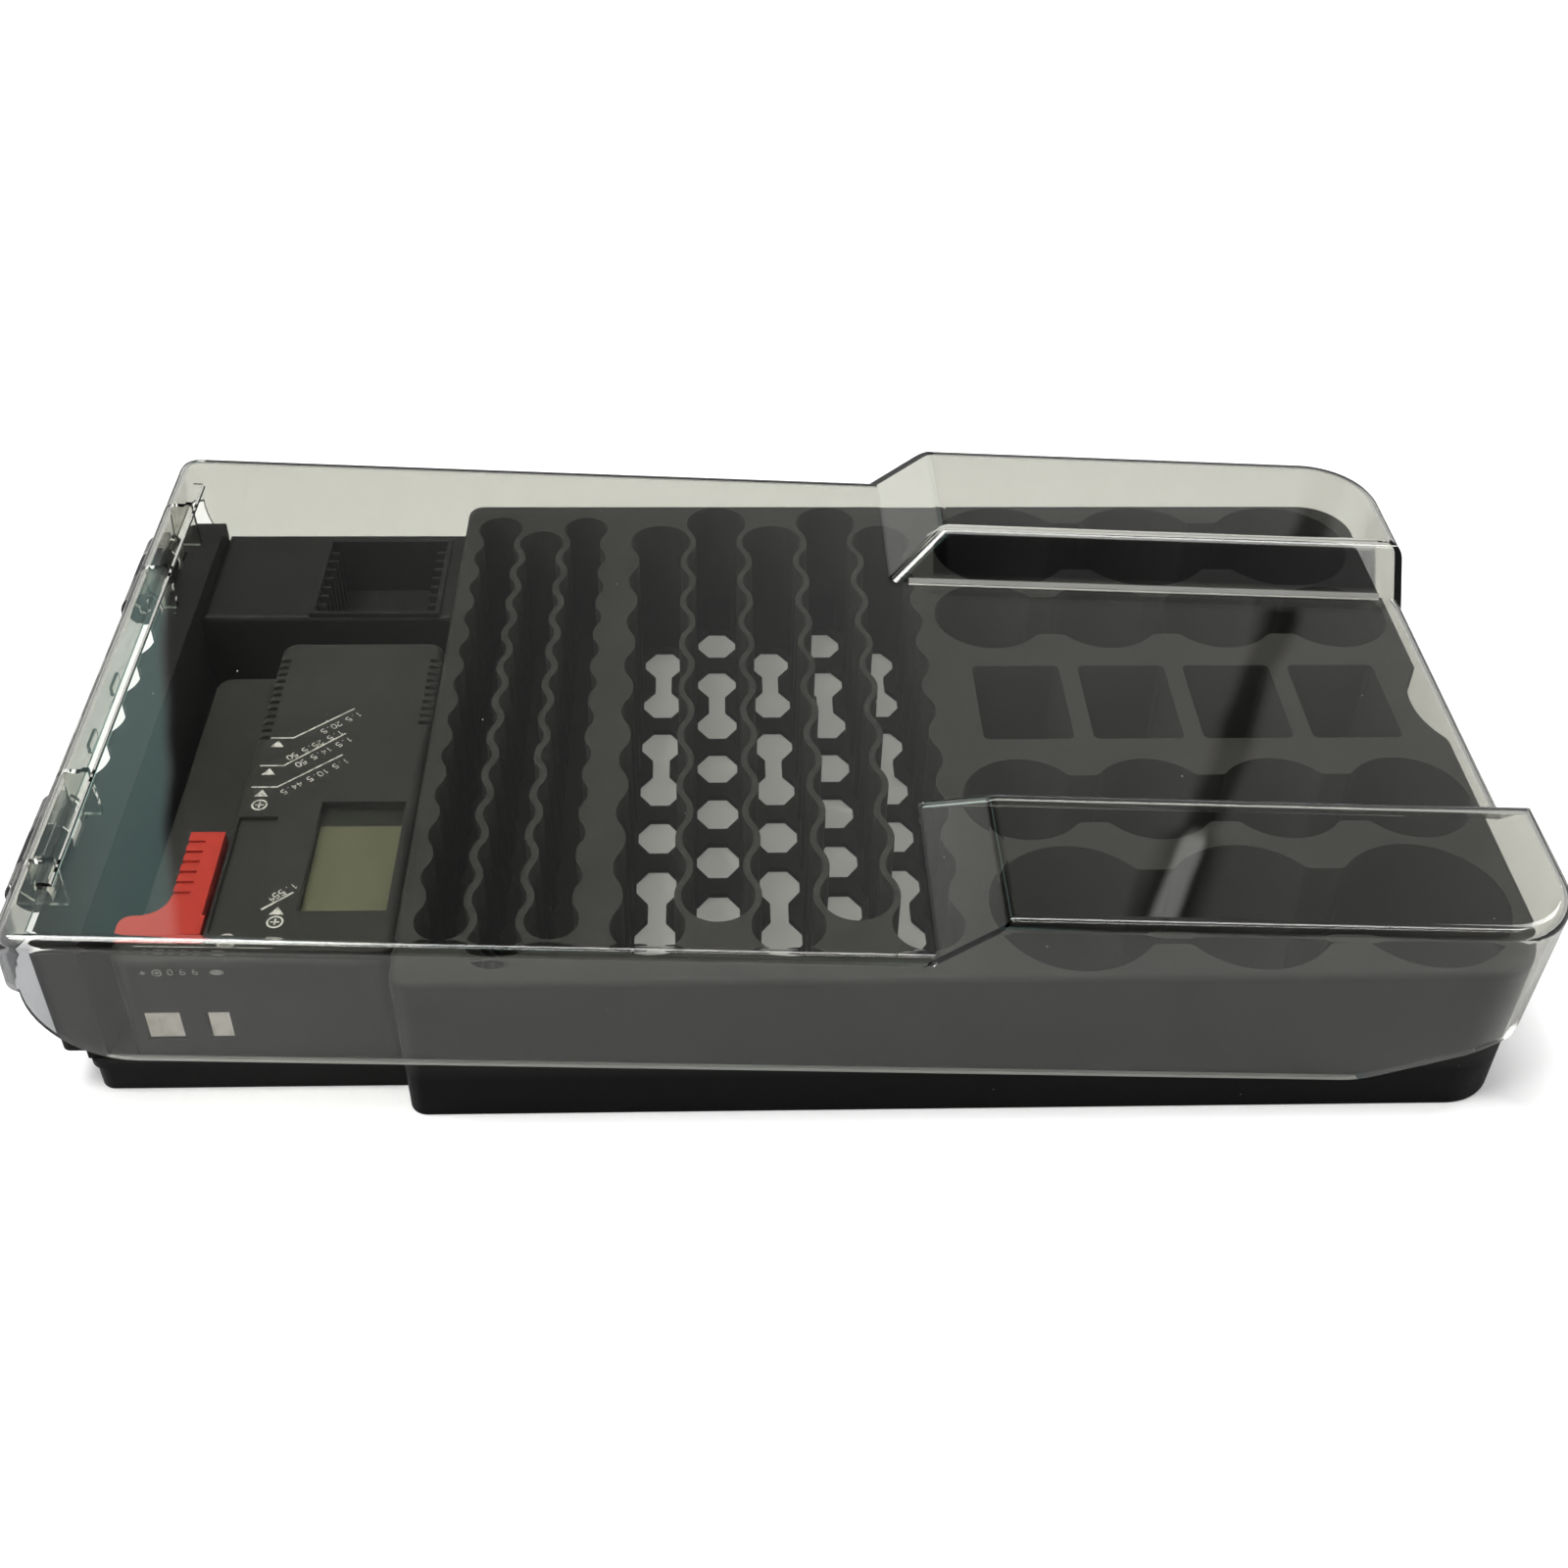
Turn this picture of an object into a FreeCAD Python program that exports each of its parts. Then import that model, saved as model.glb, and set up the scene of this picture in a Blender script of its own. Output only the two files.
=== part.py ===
import FreeCAD, Part
import math
import os

from FreeCAD import Vector

# Battery storage case with a clear hinged lid and a lift-out battery tester.
# Millimetres. +X runs from the hinge end to the free end, +Y to the back, +Z up.
# Origin: centre of the battery block's underside, on the table.

# --- battery block: one black moulding, drawn as two banks and five rows side by side ---
BLOCK_HEIGHT = 42.0
BLOCK_HINGE_CORNER = 4.0
BLOCK_FREE_CORNER = 13.0
BLOCK_TOP_ROUND = 1.6
POCKET_FLOOR = 1.6

AAA_POCKET = 11.55
AAA_PITCH = 13.4
AAA_COLUMN_STEP = 11.4
AAA_COLUMNS = 3
AAA_CELLS = 12
AAA_INSET = 9.4
AAA_FIRST_CELL_Y = -71.6

AA_POCKET = 15.8
AA_PITCH = 17.9
AA_COLUMN_STEP = 14.75
AA_COLUMNS = 5
AA_CELLS = 9
AA_FIRST_CELL_Y = -73.6
AA_HOLE_WIDTH = 10.4
AA_HOLE_LENGTH = 12.6
AA_HOLE_FLAT = 4.6
AA_SLOT_WIDTH = 4.4
AA_SLOT_NECKS_FORWARD = (2, 5, 7)
AA_SLOT_NECKS_BACKWARD = (6,)
BANK_GAP = 6.4

ROW_CENTRE_Y = 0.8
C_POCKET = 27.6
C_PITCH = 29.3
C_CELLS = 4
C_TO_NINE_VOLT = 7.3
D_POCKET = 36.0
D_PITCH = 37.5
D_CELLS = 3
D_TO_C = 1.2
D_EDGE_WALL = 1.8
D_END_WALL = 4.1
LOBE_NECK = 0.58
LOBE_NECK_ROUND = 2.0
NINE_VOLT_X = 21.4
NINE_VOLT_Y = 28.2
NINE_VOLT_PITCH = 26.0
NINE_VOLT_CELLS = 4
NINE_VOLT_CORNER = 1.5
LARGE_BANK_INSET = 1.6
D_ROW_INSET = 4.1
NINE_VOLT_INSET = 8.7
NOTCH_CHORD = 30.0
NOTCH_DEPTH = 5.6

# --- tester bay: low plinth with a raised deck behind the tester ---
PLINTH_HEIGHT = 9.0
BAY_LENGTH = 68.7
BAY_INSET = 7.7
BAY_WALL = 2.0
BAY_CORNER = 3.5
DECK_HEIGHT = 37.7
FINGER_GAP = 11.8
LIP_HEIGHT = 1.8
LIP_STEP = 0.6
RACK_LENGTH = 30.6
RACK_WIDTH = 31.6
RACK_DEPTH = 15.0
RACK_INSET = 5.0
RACK_WALL = 1.6
RACK_RIM = 1.2
RACK_RIM_HEIGHT = 0.8
COMB_TEETH = 7
COMB_TOOTH = 1.0
COMB_REACH = 2.4

# --- hinge wall: hollow box on the plinth's edge, with two hinge lugs ---
HINGE_WALL_WIDTH = 10.0
HINGE_WALL_OVERHANG = 5.3
HINGE_WALL_UNDERCUT = 2.5
HINGE_WALL_SKIN = 1.8
HINGE_WALL_OUTER_SKIN = 4.2
HINGE_WALL_CORNER = 2.0
HINGE_WALL_SETBACK = 1.5
LUG_WEB_Z = 30.0
LUG_WEB_RISE = 4.0
SCALLOP_PITCH = 15.0
SCALLOP_COUNT = 4
SCALLOP_CENTRE_Y = 4.0
SCALLOP_CHORD = 12.4
SCALLOP_DEPTH = 2.6

# --- hinge ---
PIN_DIAMETER = 3.0
PIN_RUNNING_GAP = 0.08
BARREL_DIAMETER = 10.0
AXIS_OUT = 2.8
AXIS_ABOVE_BLOCK = 1.5
STATION_INSET = 27.5
LUG_WIDTH = 9.5
KNUCKLE_GAP = 0.4
INNER_KNUCKLE = 10.6
OUTER_KNUCKLE = 6.8
BARREL_GAP = 0.6
PIN_SETBACK = 0.5

# --- clear lid, drawn level; it then drops until it rests on the block ---
LID_WALL = 1.6
LID_GAP = 1.0
LID_END_GAP = 2.0
LID_OVERHANG = 2.0
LID_LOW_ABOVE_BLOCK = 13.5
LID_HIGH_ABOVE_BLOCK = 24.2
LID_SKIRT_BELOW_BLOCK = 19.2
LID_HINGE_CORNER = 5.0
LID_FREE_CORNER = 18.0
LID_EDGE_ROUND = 3.0
LID_SKIRT_SWEEP = 20.0
LID_SKIRT_INSET = 4.0
LID_FREE_RISE = 10.5
LID_FREE_RISE_FOOT = 38.0
LID_FREE_RISE_TOP = 12.0
LID_FREE_RISE_ROUND = 20.0
LID_REST_GAP = 0.3
BUMP_INSIDE_Y = 49.7
BUMP_SLOPE = 9.5
BUMP_START_X = 4.0
BUMP_RAMP = 13.5
BUMP_ROUND = 4.0
BUMP_BELOW = 4.0
WALL_ABOVE_AXIS = 0.2
GUSSET_THICKNESS = 1.5
GUSSET_REACH = 6.5
GUSSET_TOP = 5.6
GUSSET_SPREAD = 14.1
BEAD_FROM_EDGE = 5.8
BEAD_WIDTH = 3.4
BEAD_HEIGHT = 1.0
BEAD_SHOULDER = 0.5
BEAD_LENGTH = 150.0
STOP_TAB_REACH = 0.8
STOP_TAB_WIDTH = 6.0
STOP_TAB_HEIGHT = 3.0
STOP_TAB_PITCH = 21.0
STOP_TAB_MIDDLE_Y = -6.0

# --- battery tester ---
TESTER_LENGTH = 108.5
TESTER_WIDTH = 58.0
TESTER_HEIGHT = 29.8
TESTER_FIT = 0.8
TESTER_CORNER = 4.0
TESTER_WALL = 1.8
TESTER_SEAM = 11.5
TESTER_TOP_ROUND = 2.0
BODY_WIDTH = 40.0
CRADLE_DEPTH = 11.8
CRADLE_END_WALL = 5.5
ARM_LEG_WIDTH = 7.5
ARM_LEG_LENGTH = 26.0
ARM_LEG_GAP = 1.0
ARM_FOOT_DEPTH = 5.6
ARM_FOOT_GAP = 1.4
ARM_FILLET = 6.0
ARM_SINK = 0.4
ARM_CLEARANCE = 0.35
ARM_TRAVEL = 62.0
KEY_LENGTH = 12.0
KEY_HEIGHT = 3.0
KEY_RISE = 3.2
KEY_BEHIND_FOOT = 8.0
KEEPER_THICKNESS = 2.0
KEEPER_HEIGHT = 6.0
GRIP_GROOVES = 6
GRIP_PITCH = 3.2
GRIP_WIDTH = 1.2
GRIP_DEPTH = 0.6
GRIP_FROM_FOOT = 6.0
CONTACT_THICKNESS = 0.5
CONTACT_SIZE = 8.0
WINDOW_X = 18.9
WINDOW_Y = 34.8
WINDOW_INSET_X = 2.4
WINDOW_FROM_FRONT = 13.1
LENS_THICKNESS = 1.0
LENS_LEDGE = 0.5
LCD_GAP = 0.15
LCD_THICKNESS = 2.4
STRIP_HEIGHT = 1.4
STRIP_WIDTH = 2.4
BOARD_THICKNESS = 1.6
BOARD_X = 30.0
BOARD_Y = 86.0
BOARD_GAP = 1.0
MINI_GROOVE_X = 8.6
MINI_GROOVE_Y = 36.0
MINI_GROOVE_DEPTH = 1.2
MINI_GROOVE_INSET = 1.2
MINI_GROOVE_FROM_FRONT = 7.0
EDGE_NOTCHES = 12
FAR_EDGE_NOTCHES = 10
EDGE_NOTCH_PITCH = 2.7
EDGE_NOTCH_WIDTH = 1.3
EDGE_NOTCH_REACH = 3.0
EDGE_NOTCH_DEPTH = 1.0
EDGE_NOTCH_FROM_BACK = 7.5
PLATE_HEIGHT = 7.4
PLATE_FROM_BOTTOM = 6.6
WIDE_PLATE_X = 7.3
WIDE_PLATE_FROM_LEFT = 4.7
NARROW_PLATE_X = 4.4
NARROW_PLATE_FROM_LEFT = 18.0
PLATE_SETBACK = 0.5
PLATE_WINDOW_GAP = 0.6
SCREW_DIAMETER = 2.6
SCREW_CLEARANCE = 0.3
SCREW_LENGTH = 16.0
SCREW_HEAD = 4.8
SCREW_HEAD_HEIGHT = 1.6
SCREW_HEAD_DEPTH = 2.4
CROSS_LENGTH = 3.0
CROSS_WIDTH = 0.7
CROSS_DEPTH = 0.8
BOSS_DIAMETER = 7.2
BOSS_INSET = 6.0
POST_DIAMETER = 5.0
BOARD_SCREW = 2.0
BOARD_SCREW_HEAD = 3.6
BOARD_SCREW_GRIP = 4.0

# --- places worked out from the sizes ---
AAA_BANK_LENGTH = AAA_INSET + (AAA_COLUMNS - 1) * AAA_COLUMN_STEP + (AAA_POCKET + BANK_GAP) / 2
AA_BANK_LENGTH = BANK_GAP / 2 + AA_POCKET + (AA_COLUMNS - 1) * AA_COLUMN_STEP + LARGE_BANK_INSET
D_BANK_LENGTH = D_ROW_INSET + D_POCKET + (D_CELLS - 1) * D_PITCH + D_END_WALL
BLOCK_LENGTH = AAA_BANK_LENGTH + AA_BANK_LENGTH + D_BANK_LENGTH
BLOCK_X0 = -BLOCK_LENGTH / 2
BLOCK_X1 = BLOCK_LENGTH / 2
C_ROW_OFFSET = (NINE_VOLT_Y + C_POCKET) / 2 + C_TO_NINE_VOLT
D_ROW_OFFSET = C_ROW_OFFSET + (C_POCKET + D_POCKET) / 2 + D_TO_C
BLOCK_Y = D_ROW_OFFSET + D_POCKET / 2 + D_EDGE_WALL
BLOCK_WIDTH = 2 * BLOCK_Y
NINE_VOLT_STRIP_EDGE = (NINE_VOLT_Y + C_TO_NINE_VOLT) / 2
C_STRIP_EDGE = D_ROW_OFFSET - D_POCKET / 2 - D_TO_C / 2
AAA_X0 = BLOCK_X0 + AAA_INSET
AAA_BANK_X1 = BLOCK_X0 + AAA_BANK_LENGTH
AA_X0 = AAA_BANK_X1 + (BANK_GAP + AA_POCKET) / 2
AA_BANK_X1 = AAA_BANK_X1 + AA_BANK_LENGTH
C_X0 = AA_BANK_X1 + LARGE_BANK_INSET + C_POCKET / 2
D_X0 = AA_BANK_X1 + D_ROW_INSET + D_POCKET / 2
NINE_VOLT_X0 = AA_BANK_X1 + NINE_VOLT_INSET + NINE_VOLT_X / 2
BAY_X0 = BLOCK_X0 - BAY_LENGTH
BAY_Y = BLOCK_Y - BAY_INSET
WALL_X0 = BAY_X0 - HINGE_WALL_OVERHANG
WALL_X1 = WALL_X0 + HINGE_WALL_WIDTH
AXIS_X = WALL_X0 - AXIS_OUT
AXIS_Z = BLOCK_HEIGHT + AXIS_ABOVE_BLOCK
STATION_Y = BAY_Y - STATION_INSET
LID_X0 = WALL_X0 - LID_OVERHANG
LID_X1 = BLOCK_X1 + LID_END_GAP + LID_WALL
LID_Y = BLOCK_Y + LID_GAP + LID_WALL
LID_LOW_INSIDE = BLOCK_HEIGHT + LID_LOW_ABOVE_BLOCK
LID_HIGH_INSIDE = BLOCK_HEIGHT + LID_HIGH_ABOVE_BLOCK
LID_SKIRT_BOTTOM = BLOCK_HEIGHT - LID_SKIRT_BELOW_BLOCK
LID_LOW_TOP = LID_LOW_INSIDE + LID_WALL
LID_HIGH_TOP = LID_HIGH_INSIDE + LID_WALL
TESTER_X1 = BLOCK_X0 - TESTER_FIT
TESTER_X0 = TESTER_X1 - TESTER_WIDTH
TESTER_Y0 = -BAY_Y + BAY_WALL
TESTER_Y1 = TESTER_Y0 + TESTER_LENGTH
DECK_FRONT_Y = TESTER_Y1 + FINGER_GAP
TESTER_Z0 = PLINTH_HEIGHT
TESTER_Z1 = TESTER_Z0 + TESTER_HEIGHT
SEAM_Z = TESTER_Z0 + TESTER_SEAM
BODY_X0 = TESTER_X1 - BODY_WIDTH
CRADLE_Z = TESTER_Z1 - CRADLE_DEPTH
CRADLE_Y0 = TESTER_Y0 + CRADLE_END_WALL
ARM_Y0 = CRADLE_Y0 + ARM_FOOT_GAP
ARM_LEG_X1 = BODY_X0 - ARM_LEG_GAP
ARM_LEG_X0 = ARM_LEG_X1 - ARM_LEG_WIDTH
ARM_LEG_Y1 = ARM_Y0 + ARM_FOOT_DEPTH + ARM_LEG_LENGTH
KEY_Y0 = ARM_Y0 + ARM_FOOT_DEPTH + KEY_BEHIND_FOOT
KEY_Y1 = KEY_Y0 + KEY_LENGTH
KEY_Z0 = CRADLE_Z + KEY_RISE
KEY_Z1 = KEY_Z0 + KEY_HEIGHT
KEEPER_X0 = BODY_X0 + TESTER_WALL + ARM_CLEARANCE
ARM_TOP_Z = TESTER_Z1 - ARM_SINK
WINDOW_X1 = TESTER_X1 - WINDOW_INSET_X
WINDOW_X0 = WINDOW_X1 - WINDOW_X
WINDOW_Y0 = TESTER_Y0 + WINDOW_FROM_FRONT
WINDOW_Y1 = WINDOW_Y0 + WINDOW_Y
LENS_Z1 = TESTER_Z1 - TESTER_WALL
LENS_Z0 = LENS_Z1 - LENS_THICKNESS
LCD_Z1 = LENS_Z0 - LCD_GAP
LCD_Z0 = LCD_Z1 - LCD_THICKNESS
BOARD_Z1 = LCD_Z0 - STRIP_HEIGHT
BOARD_Z0 = BOARD_Z1 - BOARD_THICKNESS
BOARD_X1 = TESTER_X1 - TESTER_WALL - BOARD_GAP
BOARD_X0 = BOARD_X1 - BOARD_X
BOARD_Y0 = TESTER_Y0 + TESTER_WALL + BOARD_GAP
BOARD_Y1 = BOARD_Y0 + BOARD_Y


def box(x0, x1, y0, y1, z0, z1):
    """Upright box between two corners."""
    return Part.makeBox(x1 - x0, y1 - y0, z1 - z0, Vector(x0, y0, z0))


def cylinder_z(x, y, z0, z1, diameter):
    """Upright cylinder."""
    return Part.makeCylinder(diameter / 2, z1 - z0, Vector(x, y, z0))


def cylinder_y(x, z, y0, y1, diameter):
    """Cylinder lying along Y."""
    return Part.makeCylinder(diameter / 2, y1 - y0, Vector(x, y0, z), Vector(0, 1, 0))


def join(first, others):
    """Fuse solids and drop the seams between them."""
    return first.fuse(list(others)).removeSplitter()


def rounded_box(x0, x1, y0, y1, z0, z1, r_left, r_right):
    """Box with rounded upright corners: r_left at low X, r_right at high X."""
    solid = box(x0, x1, y0, y1, z0, z1)
    for x, radius in ((x0, r_left), (x1, r_right)):
        if radius <= 0:
            continue
        corner = [e for e in solid.Edges if is_upright(e) and abs(e.CenterOfMass.x - x) < 0.01]
        solid = solid.makeFillet(radius, corner)
    return solid


def is_upright(edge):
    """True for a straight edge along Z."""
    a = edge.Vertexes[0].Point
    b = edge.Vertexes[-1].Point
    return abs(a.x - b.x) < 0.001 and abs(a.y - b.y) < 0.001 and abs(a.z - b.z) > 0.01


def level_edges(solid, z):
    """Edges that lie wholly at height z."""
    return [e for e in solid.Edges if abs(e.BoundBox.ZMin - z) < 0.01 and abs(e.BoundBox.ZMax - z) < 0.01]


def extrude_xy(points, z0, z1):
    """Upright prism on a polygon of (x, y) points."""
    loop = [Vector(x, y, z0) for x, y in points]
    face = Part.Face(Part.makePolygon(loop + loop[:1]))
    return face.extrude(Vector(0, 0, z1 - z0))


def extrude_xz(points, y0, y1):
    """Prism along Y on a polygon of (x, z) points."""
    loop = [Vector(x, y0, z) for x, z in points]
    face = Part.Face(Part.makePolygon(loop + loop[:1]))
    return face.extrude(Vector(0, y1 - y0, 0))


def save(name, solid):
    """Write one node."""
    solid.exportStep("parts/" + name + ".step")


def wavy_pocket(x, first_y, pitch, count, diameter, step):
    """Column of round cells joined by waists.

    The wall is a smooth wave of tangent arcs: round each cell of this column, then round
    the cells of the next column, which stand half a pitch along and one step across.
    """
    r = diameter / 2
    reach = math.hypot(step, pitch / 2)
    across = step * r / reach
    along = pitch / 2 * r / reach
    waist = step - (reach - r)
    ys = [first_y + k * pitch for k in range(count)]
    first, last = ys[0], ys[-1]
    edges = [
        arc_xy((x - across, first + along), (x, first - r), (x + across, first + along)),
        arc_xy((x - across, last - along), (x, last + r), (x + across, last - along)),
    ]
    for side in (-1, 1):
        shore = x + side * across
        for y in ys[:-1]:
            narrowest = (x + side * waist, y + pitch / 2)
            edges.append(arc_xy((shore, y + along), narrowest, (shore, y + pitch - along)))
        for y in ys[1:-1]:
            edges.append(arc_xy((shore, y - along), (x + side * r, y), (shore, y + along)))
    face = Part.Face(Part.Wire(Part.sortEdges(edges)[0]))
    return face.extrude(Vector(0, 0, BLOCK_HEIGHT - POCKET_FLOOR + 1.0))


def arc_xy(start, middle, end):
    """Level arc through three (x, y) points at the pocket floor."""
    points = [Vector(x, y, POCKET_FLOOR) for x, y in (start, middle, end)]
    return Part.Arc(*points).toShape()


def lobed_pocket(x0, y, pitch, count, diameter):
    """Row of round cells along X, joined by short straight waists."""
    half = diameter / 2 * LOBE_NECK
    top = BLOCK_HEIGHT + 1.0
    cells = [cylinder_z(x0 + k * pitch, y, POCKET_FLOOR, top, diameter) for k in range(count)]
    waist = box(x0, x0 + (count - 1) * pitch, y - half, y + half, POCKET_FLOOR, top)
    solid = join(cells[0], cells[1:] + [waist])
    corner = [e for e in solid.Edges if is_upright(e) and abs(abs(e.CenterOfMass.y - y) - half) < 0.01]
    return solid.makeFillet(LOBE_NECK_ROUND, corner)


def floor_hole(x, y):
    """Eight-sided hole under one AA cell: the cell stands on the rim left round it."""
    a = AA_HOLE_WIDTH / 2
    b = AA_HOLE_LENGTH / 2
    f = AA_HOLE_FLAT / 2
    points = [(x - f, y - b), (x + f, y - b), (x + a, y - f), (x + a, y + f)]
    points += [(x + f, y + b), (x - f, y + b), (x - a, y + f), (x - a, y - f)]
    return extrude_xy(points, -1.0, POCKET_FLOOR + 1.0)


def block_blank(x0, x1):
    """Slice of the block's rounded outer shape."""
    left = BLOCK_HINGE_CORNER
    right = BLOCK_FREE_CORNER
    blank = rounded_box(BLOCK_X0, BLOCK_X1, -BLOCK_Y, BLOCK_Y, 0, BLOCK_HEIGHT, left, right)
    blank = blank.makeFillet(BLOCK_TOP_ROUND, level_edges(blank, BLOCK_HEIGHT))
    return blank.common(box(x0, x1, -BLOCK_WIDTH, BLOCK_WIDTH, -1, BLOCK_HEIGHT + 1))


def aaa_bank():
    """Three staggered columns of AAA cells."""
    solid = block_blank(BLOCK_X0 - 1, AAA_BANK_X1)
    cuts = []
    for column in range(AAA_COLUMNS):
        x = AAA_X0 + column * AAA_COLUMN_STEP
        first = AAA_FIRST_CELL_Y - (column % 2) * AAA_PITCH / 2
        cuts.append(wavy_pocket(x, first, AAA_PITCH, AAA_CELLS, AAA_POCKET, AAA_COLUMN_STEP))
    return solid.cut(cuts)


def aa_bank():
    """Five staggered columns of AA cells, with open floors."""
    solid = block_blank(AAA_BANK_X1, AA_BANK_X1)
    cuts = []
    for column in range(AA_COLUMNS):
        x = AA_X0 + column * AA_COLUMN_STEP
        backward = column % 2
        first = AA_FIRST_CELL_Y + backward * AA_PITCH / 2
        cuts.append(wavy_pocket(x, first, AA_PITCH, AA_CELLS, AA_POCKET, AA_COLUMN_STEP))
        for k in range(AA_CELLS):
            cuts.append(floor_hole(x, first + k * AA_PITCH))
        for k in AA_SLOT_NECKS_BACKWARD if backward else AA_SLOT_NECKS_FORWARD:
            y = first + (k + 0.5) * AA_PITCH
            half = AA_SLOT_WIDTH / 2
            cuts.append(box(x - half, x + half, y - AA_PITCH / 4, y + AA_PITCH / 4, -1, POCKET_FLOOR + 1))
    return solid.cut(cuts)


def bank_strip(y0, y1):
    """Strip of the free end's bank between two Y places."""
    blank = block_blank(AA_BANK_X1, BLOCK_X1 + 1)
    return blank.common(box(AA_BANK_X1 - 1, BLOCK_X1 + 2, y0, y1, -1, BLOCK_HEIGHT + 1))


def d_row(side):
    """Row of D cells along the front or back edge."""
    edge = ROW_CENTRE_Y + side * C_STRIP_EDGE
    strip = bank_strip(*sorted((edge, side * (BLOCK_Y + 1))))
    return strip.cut(lobed_pocket(D_X0, side * D_ROW_OFFSET, D_PITCH, D_CELLS, D_POCKET))


def c_row(side):
    """Row of C cells next to the 9 V pockets."""
    edges = (ROW_CENTRE_Y + side * NINE_VOLT_STRIP_EDGE, ROW_CENTRE_Y + side * C_STRIP_EDGE)
    strip = bank_strip(*sorted(edges))
    row_y = ROW_CENTRE_Y + side * C_ROW_OFFSET
    return strip.cut(lobed_pocket(C_X0, row_y, C_PITCH, C_CELLS, C_POCKET))


def nine_volt_row():
    """Four 9 V pockets, with a finger notch in the free end's wall."""
    strip = bank_strip(ROW_CENTRE_Y - NINE_VOLT_STRIP_EDGE, ROW_CENTRE_Y + NINE_VOLT_STRIP_EDGE)
    y0 = ROW_CENTRE_Y - NINE_VOLT_Y / 2
    y1 = ROW_CENTRE_Y + NINE_VOLT_Y / 2
    corner = NINE_VOLT_CORNER
    top = BLOCK_HEIGHT + 1
    cuts = []
    for k in range(NINE_VOLT_CELLS):
        x0 = NINE_VOLT_X0 - NINE_VOLT_X / 2 + k * NINE_VOLT_PITCH
        cuts.append(rounded_box(x0, x0 + NINE_VOLT_X, y0, y1, POCKET_FLOOR, top, corner, corner))
    radius = (NOTCH_CHORD ** 2 / 4 + NOTCH_DEPTH ** 2) / (2 * NOTCH_DEPTH)
    cuts.append(cylinder_z(BLOCK_X1 - NOTCH_DEPTH + radius, 0, -1, top, 2 * radius))
    return strip.cut(cuts)


def rack_box(grow, z0, z1):
    """Box round the button-cell rack, larger by grow on each side."""
    x1 = BLOCK_X0 - RACK_INSET
    y0 = DECK_FRONT_Y + RACK_WALL
    return box(x1 - RACK_LENGTH - grow, x1 + grow, y0 - grow, y0 + RACK_WIDTH + grow, z0, z1)


def tester_bay():
    """Plinth under the tester, the raised deck behind it and the button-cell rack in the deck."""
    w = BAY_WALL
    step = LIP_STEP
    shelf = PLINTH_HEIGHT - LIP_HEIGHT
    foot = rounded_box(BAY_X0 + step, BLOCK_X0, -BAY_Y + step, BAY_Y - step, 0, shelf, BAY_CORNER, 0)
    plate = rounded_box(BAY_X0, BLOCK_X0, -BAY_Y, BAY_Y, shelf, PLINTH_HEIGHT, BAY_CORNER, 0)
    deck = box(WALL_X1, BLOCK_X0, DECK_FRONT_Y, BAY_Y, PLINTH_HEIGHT, DECK_HEIGHT)
    free_edges = [e for e in level_edges(deck, DECK_HEIGHT) if e.CenterOfMass.x < BLOCK_X0 - 1]
    deck = deck.makeFillet(BLOCK_TOP_ROUND, free_edges)
    rim = rack_box(RACK_RIM, DECK_HEIGHT - 1, DECK_HEIGHT + RACK_RIM_HEIGHT)
    solid = join(foot, [plate, deck, rim])
    under_plinth = box(BAY_X0 + w, BLOCK_X0 - w, -BAY_Y + w, DECK_FRONT_Y, -1, PLINTH_HEIGHT - w)
    under_deck = box(WALL_X1 + w, BLOCK_X0 - w, DECK_FRONT_Y + w, BAY_Y - w, -1, DECK_HEIGHT - w)
    rack_shell = rack_box(RACK_WALL, DECK_HEIGHT - RACK_DEPTH - w, DECK_HEIGHT)
    rack = rack_box(0, DECK_HEIGHT - RACK_DEPTH, DECK_HEIGHT + w).cut(comb_teeth())
    return solid.cut([under_plinth, under_deck.cut(rack_shell), rack])


def comb_teeth():
    """Dividers that reach in from both ends of the rack and keep button cells on edge."""
    x1 = BLOCK_X0 - RACK_INSET
    x0 = x1 - RACK_LENGTH
    y0 = DECK_FRONT_Y + RACK_WALL
    pitch = RACK_WIDTH / (COMB_TEETH + 1)
    teeth = []
    for k in range(COMB_TEETH):
        y = y0 + (k + 1) * pitch - COMB_TOOTH / 2
        teeth.append(box(x0 - 1, x0 + COMB_REACH, y, y + COMB_TOOTH, 0, DECK_HEIGHT))
        teeth.append(box(x1 - COMB_REACH, x1 + 1, y, y + COMB_TOOTH, 0, DECK_HEIGHT))
    return teeth


def hinge_stations():
    """Centres along Y of the two hinges."""
    return (-STATION_Y, STATION_Y)


def knuckle_spans(side):
    """Y spans of the lid's knuckles at one hinge: the long inner one and the short outer one."""
    near = STATION_Y - LUG_WIDTH / 2 - KNUCKLE_GAP
    far = STATION_Y + LUG_WIDTH / 2 + KNUCKLE_GAP
    spans = [(near - INNER_KNUCKLE, near), (far, far + OUTER_KNUCKLE)]
    return [tuple(sorted((side * a, side * b))) for a, b in spans]


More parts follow.
